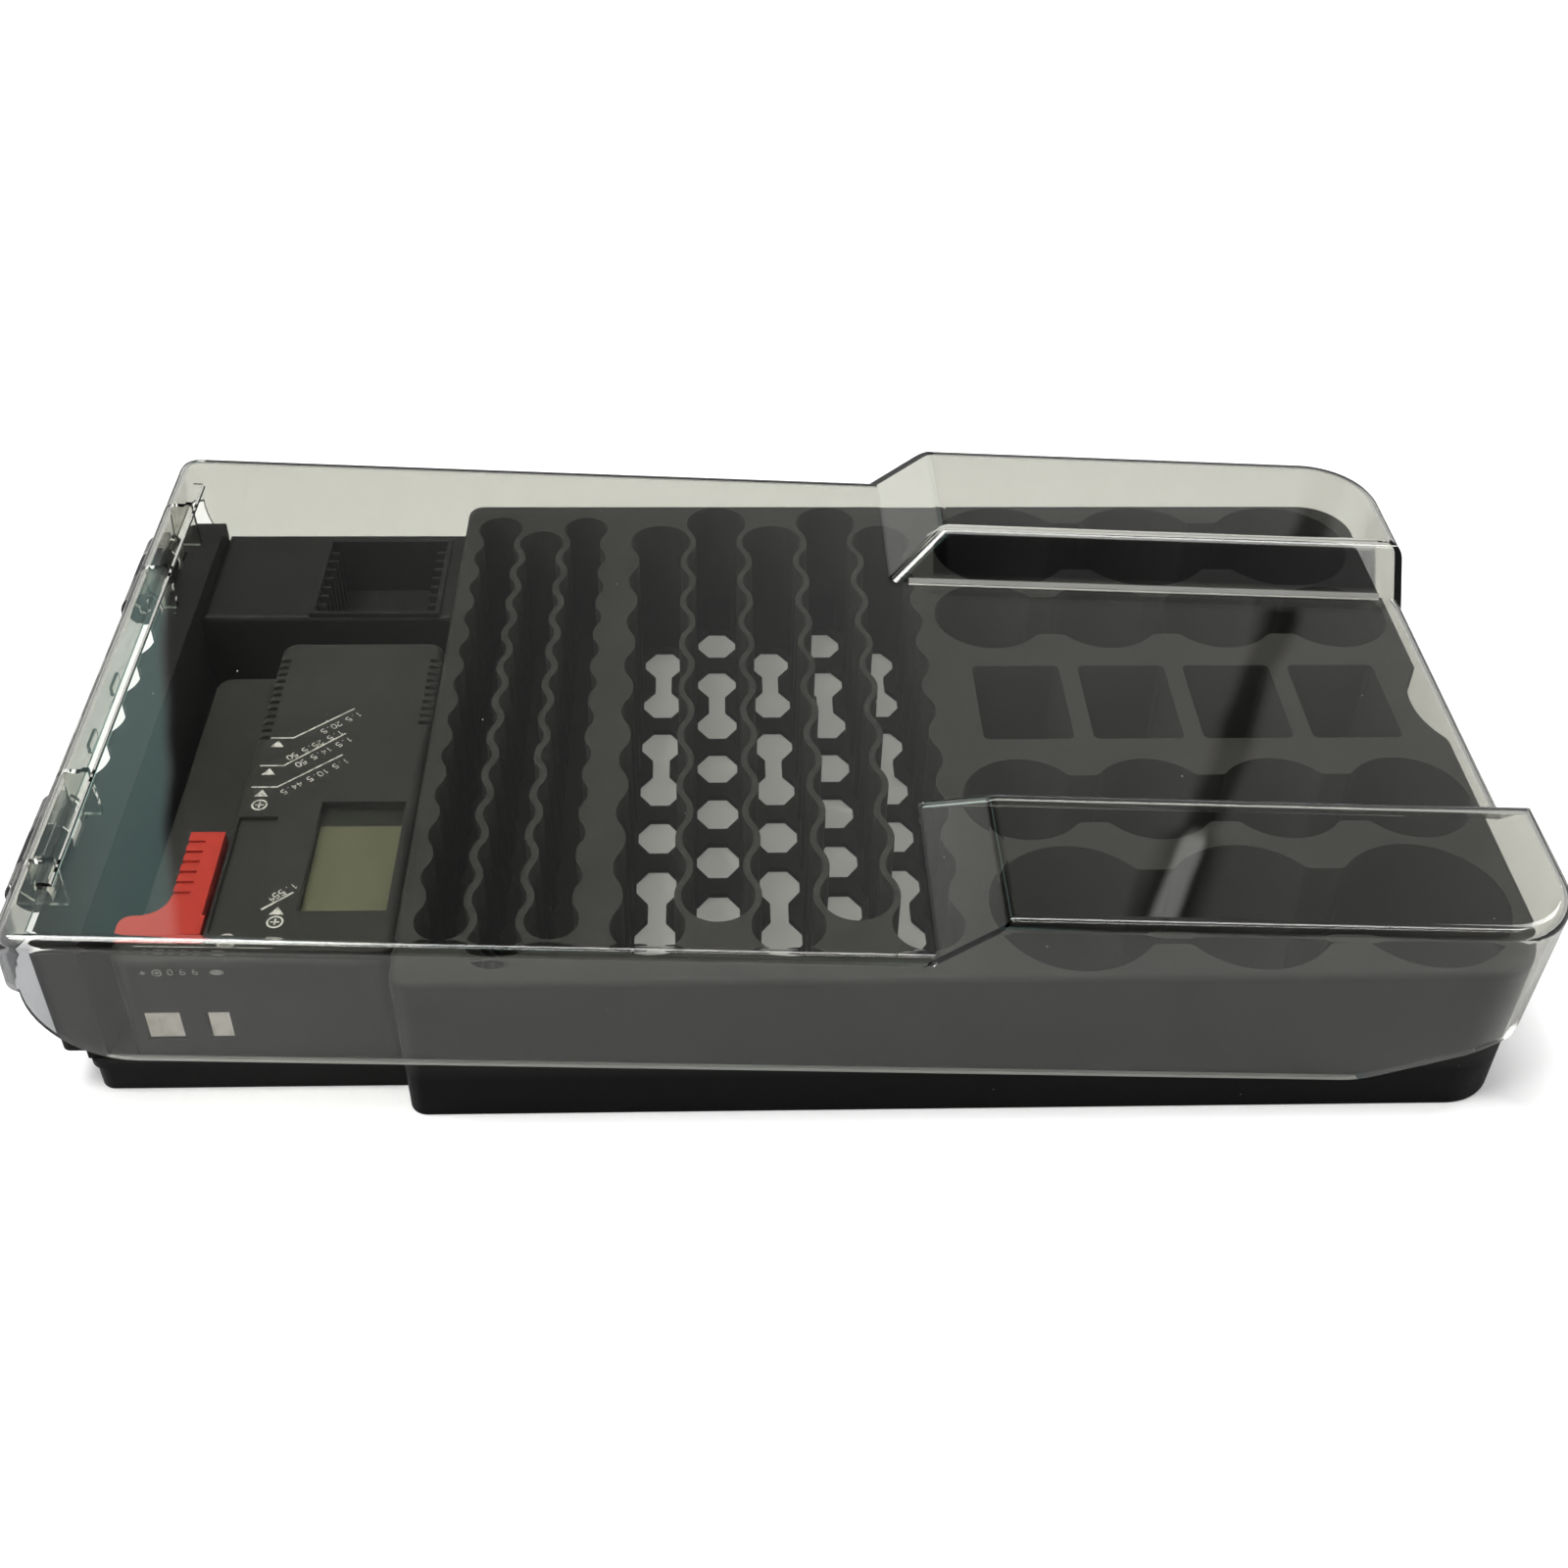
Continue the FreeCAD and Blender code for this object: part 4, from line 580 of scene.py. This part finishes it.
# %% [markdown]
# The slide arm is red ABS from a polished tool. Its tree of nodes could be copied and recoloured,
# but it is the same plastic as the tray, so the same function makes it, smoother and with a small
# highlight. Its dust is pale pink powder that fingers rub off the part itself.

# %% Red ABS
red_abs = moulded_abs("abs_red_polished", "#a5332a", "#ad3b32", "#d07a70", 0.34, 0.45)
print("arm plastic:", red_abs.name)

# %% [markdown]
# Contacts are nickel-plated strip, and rolling leaves fine lines along it, which draw its gloss
# out into streaks. The lines could be cut as grooves, but those are far too fine for a mesh, so
# the roughness and a shallow bump follow a noise that is stretched fifty times along Z. It is
# drawn at 0.3 mm, coarser than real rolling lines, to show at all. Screws are zinc plated and
# turned, so theirs is stretched less. The hinge pins are drawn steel wire with a black oxide
# skin, lined along Y.

# %% Plated and blackened metals
LINE_DEPTH = 0.03 * MM
STAIN_MM, STAIN_FROM, STAIN_TO = 5.0, 0.45, 0.7
GLOSSIER, DULLER = 0.08, 0.10
ALONG_Z, PARTLY_ALONG_Z, ALONG_Y = (1.0, 1.0, 0.02), (1.0, 1.0, 0.2), (1.0, 0.05, 1.0)


def rolled_metal(name, colour, dull_colour, roughness, stretch, line_mm):
    """Metal with fine lines: noise with line_mm between them, stretched along the axis whose
    share in stretch is small, and larger stains of the dull colour."""
    material, tree = new_material(name)
    point = add(tree, "TexCoord").outputs["Object"]
    along = add(tree, "Mapping", Vector=point, Scale=stretch)
    lines = add(tree, "TexNoise", Vector=along, Scale=per_metre(line_mm), Detail=3.0)
    stains = add(tree, "TexNoise", Vector=point, Scale=per_metre(STAIN_MM), Detail=3.0)
    stain = add(tree, "MapRange", i0=stains, i1=STAIN_FROM, i2=STAIN_TO)
    skin = add(tree, "Mix", OF_COLOURS, i0=stain, i6=linear(colour), i7=linear(dull_colour))
    smooth, rough = roughness - GLOSSIER, roughness + DULLER
    sheen = add(tree, "MapRange", i0=lines, i1=NOISE_LOW, i2=NOISE_HIGH, i3=smooth, i4=rough)
    bump = add(tree, "Bump", Height=lines, Strength=0.15, Distance=LINE_DEPTH)
    shader = add(
        tree, "BsdfPrincipled", Base_Color=skin.outputs[2], Metallic=1.0, Roughness=sheen,
        Normal=bump
    )
    add(tree, "OutputMaterial", Surface=shader)
    return material


nickel = rolled_metal("nickel_plated_strip", "#eeebe4", "#d2cdc2", 0.34, ALONG_Z, 0.3)
zinc = rolled_metal("zinc_plated_screw", "#b9bcc0", "#9da1a6", 0.32, PARTLY_ALONG_Z, 0.4)
oxide = rolled_metal("steel_black_oxide_pin", "#2b2b2c", "#3a3938", 0.38, ALONG_Y, 0.3)
print("metals:", nickel.name, zinc.name, oxide.name)

# %% [markdown]
# The display is a reflective liquid crystal: a grey-green foil behind glass, framed by a dark
# mask where no liquid is. The frame could be a piece of its own, but it is only a printed edge on
# the real glass, so two spans across the solid draw it. They start from the solid's own box. At
# the back the dark band is wider, and there it is painted shadow from the recess round the display.

# %% Display foil
# The back margin is wider than the printed edge: the extra band is painted shadow of the recess.
BACK_MARGIN_WITH_SHADE = 6.2 * MM
VIEW_SIDE_MARGIN = 0.9 * MM
MASK_BLUR = 0.2 * MM
STREAK_MM, BRUSHED_ALONG_Y = 4.0, (1.0, 0.15, 1.0)
FOIL_DARK, FOIL_PALE, MASK_AND_SHADE_DARK = "#5c5c48", "#63634f", "#1c1d1a"
glass_low, glass_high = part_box("tester_lcd_panel")


def display_foil(name):
    """Grey-green foil inside the view area, dark mask outside it, widened at the back by painted
    shadow.
    """
    material, tree = new_material(name)
    point = add(tree, "TexCoord").outputs["Object"]
    parts = add(tree, "SeparateXYZ", Vector=point)
    low_x, high_x = glass_low.x + VIEW_SIDE_MARGIN, glass_high.x - VIEW_SIDE_MARGIN
    low_y, high_y = glass_low.y + VIEW_SIDE_MARGIN, glass_high.y - BACK_MARGIN_WITH_SHADE
    across = inside_span(tree, parts.outputs[0], low_x, high_x, MASK_BLUR)
    along = inside_span(tree, parts.outputs[1], low_y, high_y, MASK_BLUR)
    in_view = add(tree, "Math", MULTIPLY, i0=across, i1=along)
    brushed = add(tree, "Mapping", Vector=point, Scale=BRUSHED_ALONG_Y)
    streaks = add(tree, "TexNoise", Vector=brushed, Scale=per_metre(STREAK_MM), Detail=2.0)
    streak = add(tree, "MapRange", i0=streaks, i1=NOISE_LOW, i2=NOISE_HIGH)
    foil = add(tree, "Mix", OF_COLOURS, i0=streak, i6=linear(FOIL_DARK), i7=linear(FOIL_PALE))
    # Outside the view the dark colour is printed mask, and in the wide band at the back painted
    # shadow.
    colour = add(tree, "Mix", OF_COLOURS, i0=in_view, i6=linear(MASK_AND_SHADE_DARK), i7=foil.outputs[2])
    shader = add(tree, "BsdfPrincipled", Base_Color=colour.outputs[2], Roughness=0.45, IOR=1.5)
    add(tree, "OutputMaterial", Surface=shader)
    return material


foil = display_foil("lcd_reflective_foil")
print("display mm:", [round(side / MM, 1) for side in glass_high - glass_low])

# %% [markdown]
# Inside the tester are a circuit board and two connector strips. The board is glass cloth in
# resin under green solder mask, with the cloth's weave just showing and the copper tracks
# standing up a little. The strips are silicone in thin layers, carbon-black and plain by turns,
# drawn at 0.5 mm where real ones are a tenth of that. Both patterns are regular, so plain
# checker, brick and wave textures make them. Real tracks would need the board's layout and could
# hardly be seen under the cover.

# %% Board and rubber strips
WEAVE_MM, TRACK_MM, TRACK_DEPTH = 0.6, 6.0, 0.05 * MM
LAYER_MM = 0.5
WAVE_TURN = 6.283
GLASS_CLOTH, BETWEEN_THREADS = "#1d5a34", "#22633a"
CARBON_LAYER, PLAIN_LAYER = "#55585a", "#c9c9c4"


def board_mask(name):
    """Green solder mask over a faint weave of glass cloth, 0.6 mm between threads."""
    material, tree = new_material(name)
    point = add(tree, "TexCoord").outputs["Object"]
    weave = add(tree, "TexChecker", Vector=point, Scale=per_metre(WEAVE_MM)).outputs[1]
    colour = add(
        tree, "Mix", OF_COLOURS, i0=weave, i6=linear(GLASS_CLOTH), i7=linear(BETWEEN_THREADS)
    )
    tracks = add(tree, "TexBrick", Vector=point, Scale=per_metre(TRACK_MM)).outputs[1]
    bump = add(tree, "Bump", Height=tracks, Strength=0.3, Distance=TRACK_DEPTH)
    shader = add(
        tree, "BsdfPrincipled", Base_Color=colour.outputs[2], Roughness=0.32, IOR=1.5, Normal=bump
    )
    add(tree, "OutputMaterial", Surface=shader)
    return material


def layered_rubber(name):
    """Connector strip: conductive and plain rubber in 0.5 mm layers across the strip. A wave
    texture's bands repeat after 2 pi / (20 scale), here one dark and one pale layer."""
    material, tree = new_material(name)
    point = add(tree, "TexCoord").outputs["Object"]
    wave_scale = per_metre(LAYER_MM) / WAVE_TURN
    layers = add(tree, "TexWave", {"bands_direction": "Y"}, Vector=point, Scale=wave_scale)
    layer = layers.outputs[1]
    colour = add(
        tree, "Mix", OF_COLOURS, i0=layer, i6=linear(CARBON_LAYER), i7=linear(PLAIN_LAYER)
    )
    shader = add(tree, "BsdfPrincipled", Base_Color=colour.outputs[2], Roughness=0.7, IOR=1.42)
    add(tree, "OutputMaterial", Surface=shader)
    return material


solder_mask = board_mask("fibreglass_green_solder_mask")
zebra = layered_rubber("silicone_connector_layered")
print("board and strips:", solder_mask.name, zebra.name)

# %% [markdown]
# White ink is pad printed on the tester: lines, arrows, pole signs and plain numbers. Text
# objects would bring a font's letters, and a texture would blur up close. So every mark is a flat
# band along a line of points, with its own width at each point: a wide start and a thin end make
# an arrow, and widths that follow a half circle make a dot.

# %% A flat band along a line
def band(points, widths, closed=False):
    """Flat closed band round a plane polyline, thin in w: the section at point p runs from
    p - m b/2 to p + m b/2, where b is the width and m = (n1 + n2) / (1 + n1.n2) the mitre of the
    left normals n1, n2 of the two sides that meet in p. Gives points (u, v, w) and quads."""
    path = np.array(points, float)
    count = len(path)
    sides = np.roll(path, -1, axis=0) - path
    if not closed:
        sides[-1] = sides[-2]
    normals = np.stack([-sides[:, 1], sides[:, 0]], axis=1) / np.hypot(*sides.T)[:, None]
    before = np.roll(normals, 1, axis=0)
    if not closed:
        before[0] = normals[0]
    mitre = (normals + before) / np.maximum(1 + (normals * before).sum(axis=1), 0.5)[:, None]
    reach = mitre * np.broadcast_to(widths, count)[:, None] / 2
    section = np.stack([path - reach, path + reach, path + reach, path - reach], axis=1)
    height = np.broadcast_to([0.0, 0.0, 1.0, 1.0], (count, 4))
    corners = np.concatenate([section, height[:, :, None]], axis=2).reshape(-1, 3)
    first = np.arange(count if closed else count - 1)[:, None] * 4
    edge = np.arange(4)[None, :]
    beside = (edge + 1) % 4
    after = (first + 4) % (4 * count)
    quads = [first + edge, after + edge, after + beside, first + beside]
    quads = np.stack(quads, axis=2).reshape(-1, 4)
    if not closed:
        last = 4 * (count - 1)
        quads = np.concatenate([quads, [[0, 1, 2, 3], [last + 3, last + 2, last + 1, last]]])
    return corners, quads


corners, quads = band([(0, 0), (10, 0)], 1.0)
print("a straight band has", len(corners), "corners and", len(quads), "faces")

# %% [markdown]
# The signs are few: a ring with a bar or a cross in it for the poles, a filled triangle for an
# arrow, and digits. A digit is a stroke through a few points on a grid one unit high, as on a
# plotter. That is plainer than a font and enough at 1.6 mm high.

# %% Rings, arrows and digits
GLYPHS = {
    "0": [(0.15, 0), (0.45, 0), (0.6, 0.2), (0.6, 0.8), (0.45, 1), (0.15, 1), (0, 0.8), (0, 0.2),
          (0.15, 0)],
    "1": [(0.1, 0.75), (0.32, 1), (0.32, 0)],
    "2": [(0, 0.8), (0.15, 1), (0.45, 1), (0.6, 0.8), (0.6, 0.6), (0, 0), (0.6, 0)],
    "4": [(0.45, 0), (0.45, 1), (0, 0.35), (0.62, 0.35)],
    "5": [(0.58, 1), (0.08, 1), (0.04, 0.55), (0.42, 0.6), (0.6, 0.42), (0.6, 0.18), (0.42, 0),
          (0.05, 0)],
    "9": [(0.6, 0.55), (0.15, 0.45), (0, 0.6), (0, 0.85), (0.15, 1), (0.45, 1), (0.6, 0.85),
          (0.6, 0.3), (0.4, 0)],
    ".": [(0.25, 0), (0.25, 0.14)],
}
GLYPH_STEP = 0.85
BAR_SHARE = 0.26


def circle(centre, diameter, steps=24):
    """Points round a circle: the centre plus the radius times the cosine and sine of a turn."""
    turns = np.linspace(0, 2 * math.pi, steps, endpoint=False)
    return np.array(centre) + diameter / 2 * np.stack([np.cos(turns), np.sin(turns)], axis=1)


def number(text, start, degrees, height, stroke):
    """Bands for plain digits: each glyph is scaled to height, moved on by 0.85 of it and turned."""
    across = np.array([math.cos(math.radians(degrees)), math.sin(math.radians(degrees))])
    upward = np.array([-across[1], across[0]])
    bands = []
    for place, letter in enumerate(text):
        if letter in GLYPHS:
            shape = np.array(GLYPHS[letter]) * height
            shape[:, 0] += GLYPH_STEP * height * place
            bands.append(band(np.array(start) + shape @ np.array([across, upward]), stroke))
    return bands


def pole(centre, positive, size=3.6, stroke=0.42):
    """A ring with a bar in it, and an upright bar too on the positive pole."""
    (u, v), bar = centre, size * BAR_SHARE
    bands = [band(circle(centre, size - stroke), stroke, True)]
    bands.append(band([(u - bar, v), (u + bar, v)], stroke))
    if positive:
        bands.append(band([(u, v - bar), (u, v + bar)], stroke))
    return bands


def arrow(centre, width=3.1, height=2.2, tip=0.1):
    """A filled triangle that points away from the front: a band that narrows to its tip."""
    u, v = centre
    return band([(u, v - height / 2), (u, v + height / 2)], [width, tip])


print("digits that can be printed:", "".join(sorted(GLYPHS)))

# %% [markdown]
# Pad printing leaves a thin matt film of ink, a little greyer where fingers have worn it. The
# bands of one face are joined to one piece, two hundredths of a millimetre thick like real ink.
# It rides on the tester, so that the print lifts out with it. A copy of the cover's mesh could
# carry the ink as a mask, but it would hide a solid whose shape is right.

# %% White ink
INK_HEIGHT = 0.02 * MM
INK_WEAR_MM, WEAR_FROM, WEAR_TO = 1.5, 0.45, 0.65


def pad_print(name, colour, worn_colour):
    """Matt white ink, a little greyer where it has worn thin, at 1.5 mm."""
    material, tree = new_material(name)
    point = add(tree, "TexCoord").outputs["Object"]
    wear = add(tree, "TexNoise", Vector=point, Scale=per_metre(INK_WEAR_MM), Detail=2.0)
    worn = add(tree, "MapRange", i0=wear, i1=WEAR_FROM, i2=WEAR_TO)
    skin = add(tree, "Mix", OF_COLOURS, i0=worn, i6=linear(colour), i7=linear(worn_colour))
    shader = add(tree, "BsdfPrincipled", Base_Color=skin.outputs[2], Roughness=0.6, IOR=1.48)
    add(tree, "OutputMaterial", Surface=shader)
    return material


def print_bands(name, bands, corner, across, upward, outward, ink):
    """One closed piece from bands in (u, v) millimetres on a face with that corner and axes."""
    starts = np.cumsum([0] + [len(corners) for corners, _ in bands[:-1]])
    flat = np.concatenate([corners for corners, _ in bands])
    quads = np.concatenate([quads + start for (_, quads), start in zip(bands, starts)])
    axes = np.array([np.array(across) * MM, np.array(upward) * MM, np.array(outward) * INK_HEIGHT])
    mesh = bpy.data.meshes.new(name)
    mesh.from_pydata((np.array(corner) + flat @ axes).tolist(), [], quads.tolist())
    mesh.materials.append(ink)
    piece = bpy.data.objects.new(name, mesh)
    scene.collection.objects.link(piece)
    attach(piece, "tester")
    print(name, "bands:", len(bands), "faces:", len(mesh.polygons))


ink = pad_print("pad_printed_white_ink", "#c9c9c3", "#8f8f8a")
cover_low, cover_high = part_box("tester_upper_shell")
print("cover mm:", [round(side / MM, 1) for side in cover_high - cover_low])

# %% [markdown]
# The top has a leader line and an arrow for each kind of cell, the voltages and sizes, and three
# pole signs. Places are in millimetres from the corner of the tester's cover that is nearest to
# the front and the hinge. All of it could be drawn in one image, but in a list of places each
# mark can be moved on its own. The tester lies with its print turned half round, so its numbers
# run backwards and slantwise.

# %% Print on the tester's top
HALF_TURN, SLANT = 180, 41
READ_BACKWARDS = HALF_TURN + SLANT
LINE_WIDTH, DIGIT_STROKE, BUTTON_DIGIT_STROKE = 0.4, 0.24, 0.26
DIGIT_HEIGHT, BUTTON_DIGIT_HEIGHT = 1.6, 1.7
LEADERS = (
    ([(21.4, 70.6), (26.6, 70.6), (39.2, 81.5)], (23.3, 68.4)),
    ([(20.6, 60.6), (26.0, 60.6), (38.5, 72.2)], (23.0, 58.5)),
    ([(20.0, 53.1), (25.8, 53.1), (38.9, 64.4)], (22.7, 51.0)),
)
CELL_NUMBERS = (
    ("1.5 20.5", (40.3, 80.2)), ("1.5 25.5 50", (37.0, 73.3)), ("1.5 14.5 50", (39.4, 70.8)),
    ("1.5 10.5 44.5", (39.8, 63.0)),
)
BUTTON_CELL_NUMBERS = (("1.55", (34.8, 21.6)), ("1.4", (33.2, 19.4)))
BUTTON_LINE, BUTTON_LINE_WIDTH, BUTTON_ARROW = [(29.3, 13.6), (35.2, 18.8)], 0.5, (32.7, 13.2)
FRONT_LINE, FRONT_LINE_WIDTH = [(5.3, 2.4), (33.7, 2.4)], 0.45
POLES = (((22.9, 47.0), True), ((32.8, 9.9), True), ((23.6, 4.8), False))

top_marks = []
for line, arrow_at in LEADERS:
    top_marks += [band(line, LINE_WIDTH), arrow(arrow_at)]
for text, start in CELL_NUMBERS:
    top_marks += number(text, start, READ_BACKWARDS, DIGIT_HEIGHT, DIGIT_STROKE)
for text, start in BUTTON_CELL_NUMBERS:
    top_marks += number(text, start, READ_BACKWARDS, BUTTON_DIGIT_HEIGHT, BUTTON_DIGIT_STROKE)
top_marks += [band(BUTTON_LINE, BUTTON_LINE_WIDTH), arrow(BUTTON_ARROW)]
top_marks += [band(FRONT_LINE, FRONT_LINE_WIDTH)]
for centre, positive in POLES:
    top_marks += pole(centre, positive)
top_corner = (cover_low.x, cover_low.y, cover_high.z)
print_bands("tester_top_print", top_marks, top_corner, (1, 0, 0), (0, 1, 0), (0, 0, 1), ink)

# %% [markdown]
# The front has one row of signs over the contacts: a cross, a pole sign, the voltage of the
# square battery and a filled dot. A disc could be laid on for the dot, but as a band it is made
# like every other mark. Its path runs across the circle, and its width at each point is the root
# of 1 minus the square of the share of the radius, like the height of a half circle.

# %% Print on the tester's front
FRONT_PRINT_BELOW_TOP = 4.2 * MM
DOT_CENTRE, DOT_RADIUS, DOT_STEPS = (22.2, 1.1), 1.5, 9
DOT_LEAST_WIDTH, DOT_SLACK = 0.06, 0.001
FRONT_POLE, FRONT_POLE_SIZE, FRONT_STROKE = (9.9, 1.1), 2.1, 0.3
FRONT_NUMBER, FRONT_NUMBER_START, FRONT_DIGIT_HEIGHT = "9 9.0", (18.2, 2.0), 1.5
CROSS_BARS = ([(6.4, 1.1), (7.6, 1.1)], [(7.0, 0.5), (7.0, 1.7)])

dot_u = np.linspace(-DOT_RADIUS, DOT_RADIUS, DOT_STEPS)
dot_path = np.stack([DOT_CENTRE[0] + dot_u, np.full(DOT_STEPS, DOT_CENTRE[1])], axis=1)
share = dot_u / (DOT_RADIUS + DOT_SLACK)
dot = band(dot_path, DOT_LEAST_WIDTH + DOT_RADIUS * np.sqrt(1 - share ** 2))
front_marks = [dot] + pole(FRONT_POLE, True, FRONT_POLE_SIZE, FRONT_STROKE)
front_marks += number(
    FRONT_NUMBER, FRONT_NUMBER_START, HALF_TURN, FRONT_DIGIT_HEIGHT, DIGIT_STROKE
)
front_marks += [band(bar, FRONT_STROKE) for bar in CROSS_BARS]
front_corner = (cover_low.x, cover_low.y, cover_high.z - FRONT_PRINT_BELOW_TOP)
print_bands("tester_front_print", front_marks, front_corner, (1, 0, 0), (0, 0, 1), (0, -1, 0), ink)

# %% [markdown]
# Each solid gets the finish of the real piece it stands for. The meshes stay as they came, since
# the motion model and the pictures have to agree, and only their material slots change. Tray
# strips that are one moulding on the real case share one finish, so no seam shows.

# %% Give the solids their materials
TRAY_STRIPS = ("aaa", "aa", "d_front", "c_front", "nine_volt", "c_rear", "d_rear")
FINISH = {
    "tester_bay": bay_abs, "hinge_wall": bay_abs, "hinge_pin_front": oxide, "hinge_pin_rear": oxide,
    "clear_lid": lid_clear, "tester_lens": lens_clear, "tester_lower_shell": tester_abs,
    "tester_upper_shell": tester_abs, "tester_arm_keeper": tester_abs, "tester_slide_arm": red_abs,
    "tester_case_screws": zinc, "tester_board_screws": zinc, "tester_circuit_board": solder_mask,
    "tester_lcd_connector": zebra, "tester_lcd_panel": foil, "tester_contact_wide": nickel,
    "tester_contact_narrow": nickel, "tester_contact_fixed": nickel, "tester_contact_arm": nickel,
}
FINISH.update({"battery_block_" + strip_name: tray_abs for strip_name in TRAY_STRIPS})
for node, finish in FINISH.items():
    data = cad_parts[node].data
    data.materials.clear()
    data.materials.append(finish)
print("finished nodes:", len(FINISH), "of", len(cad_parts))
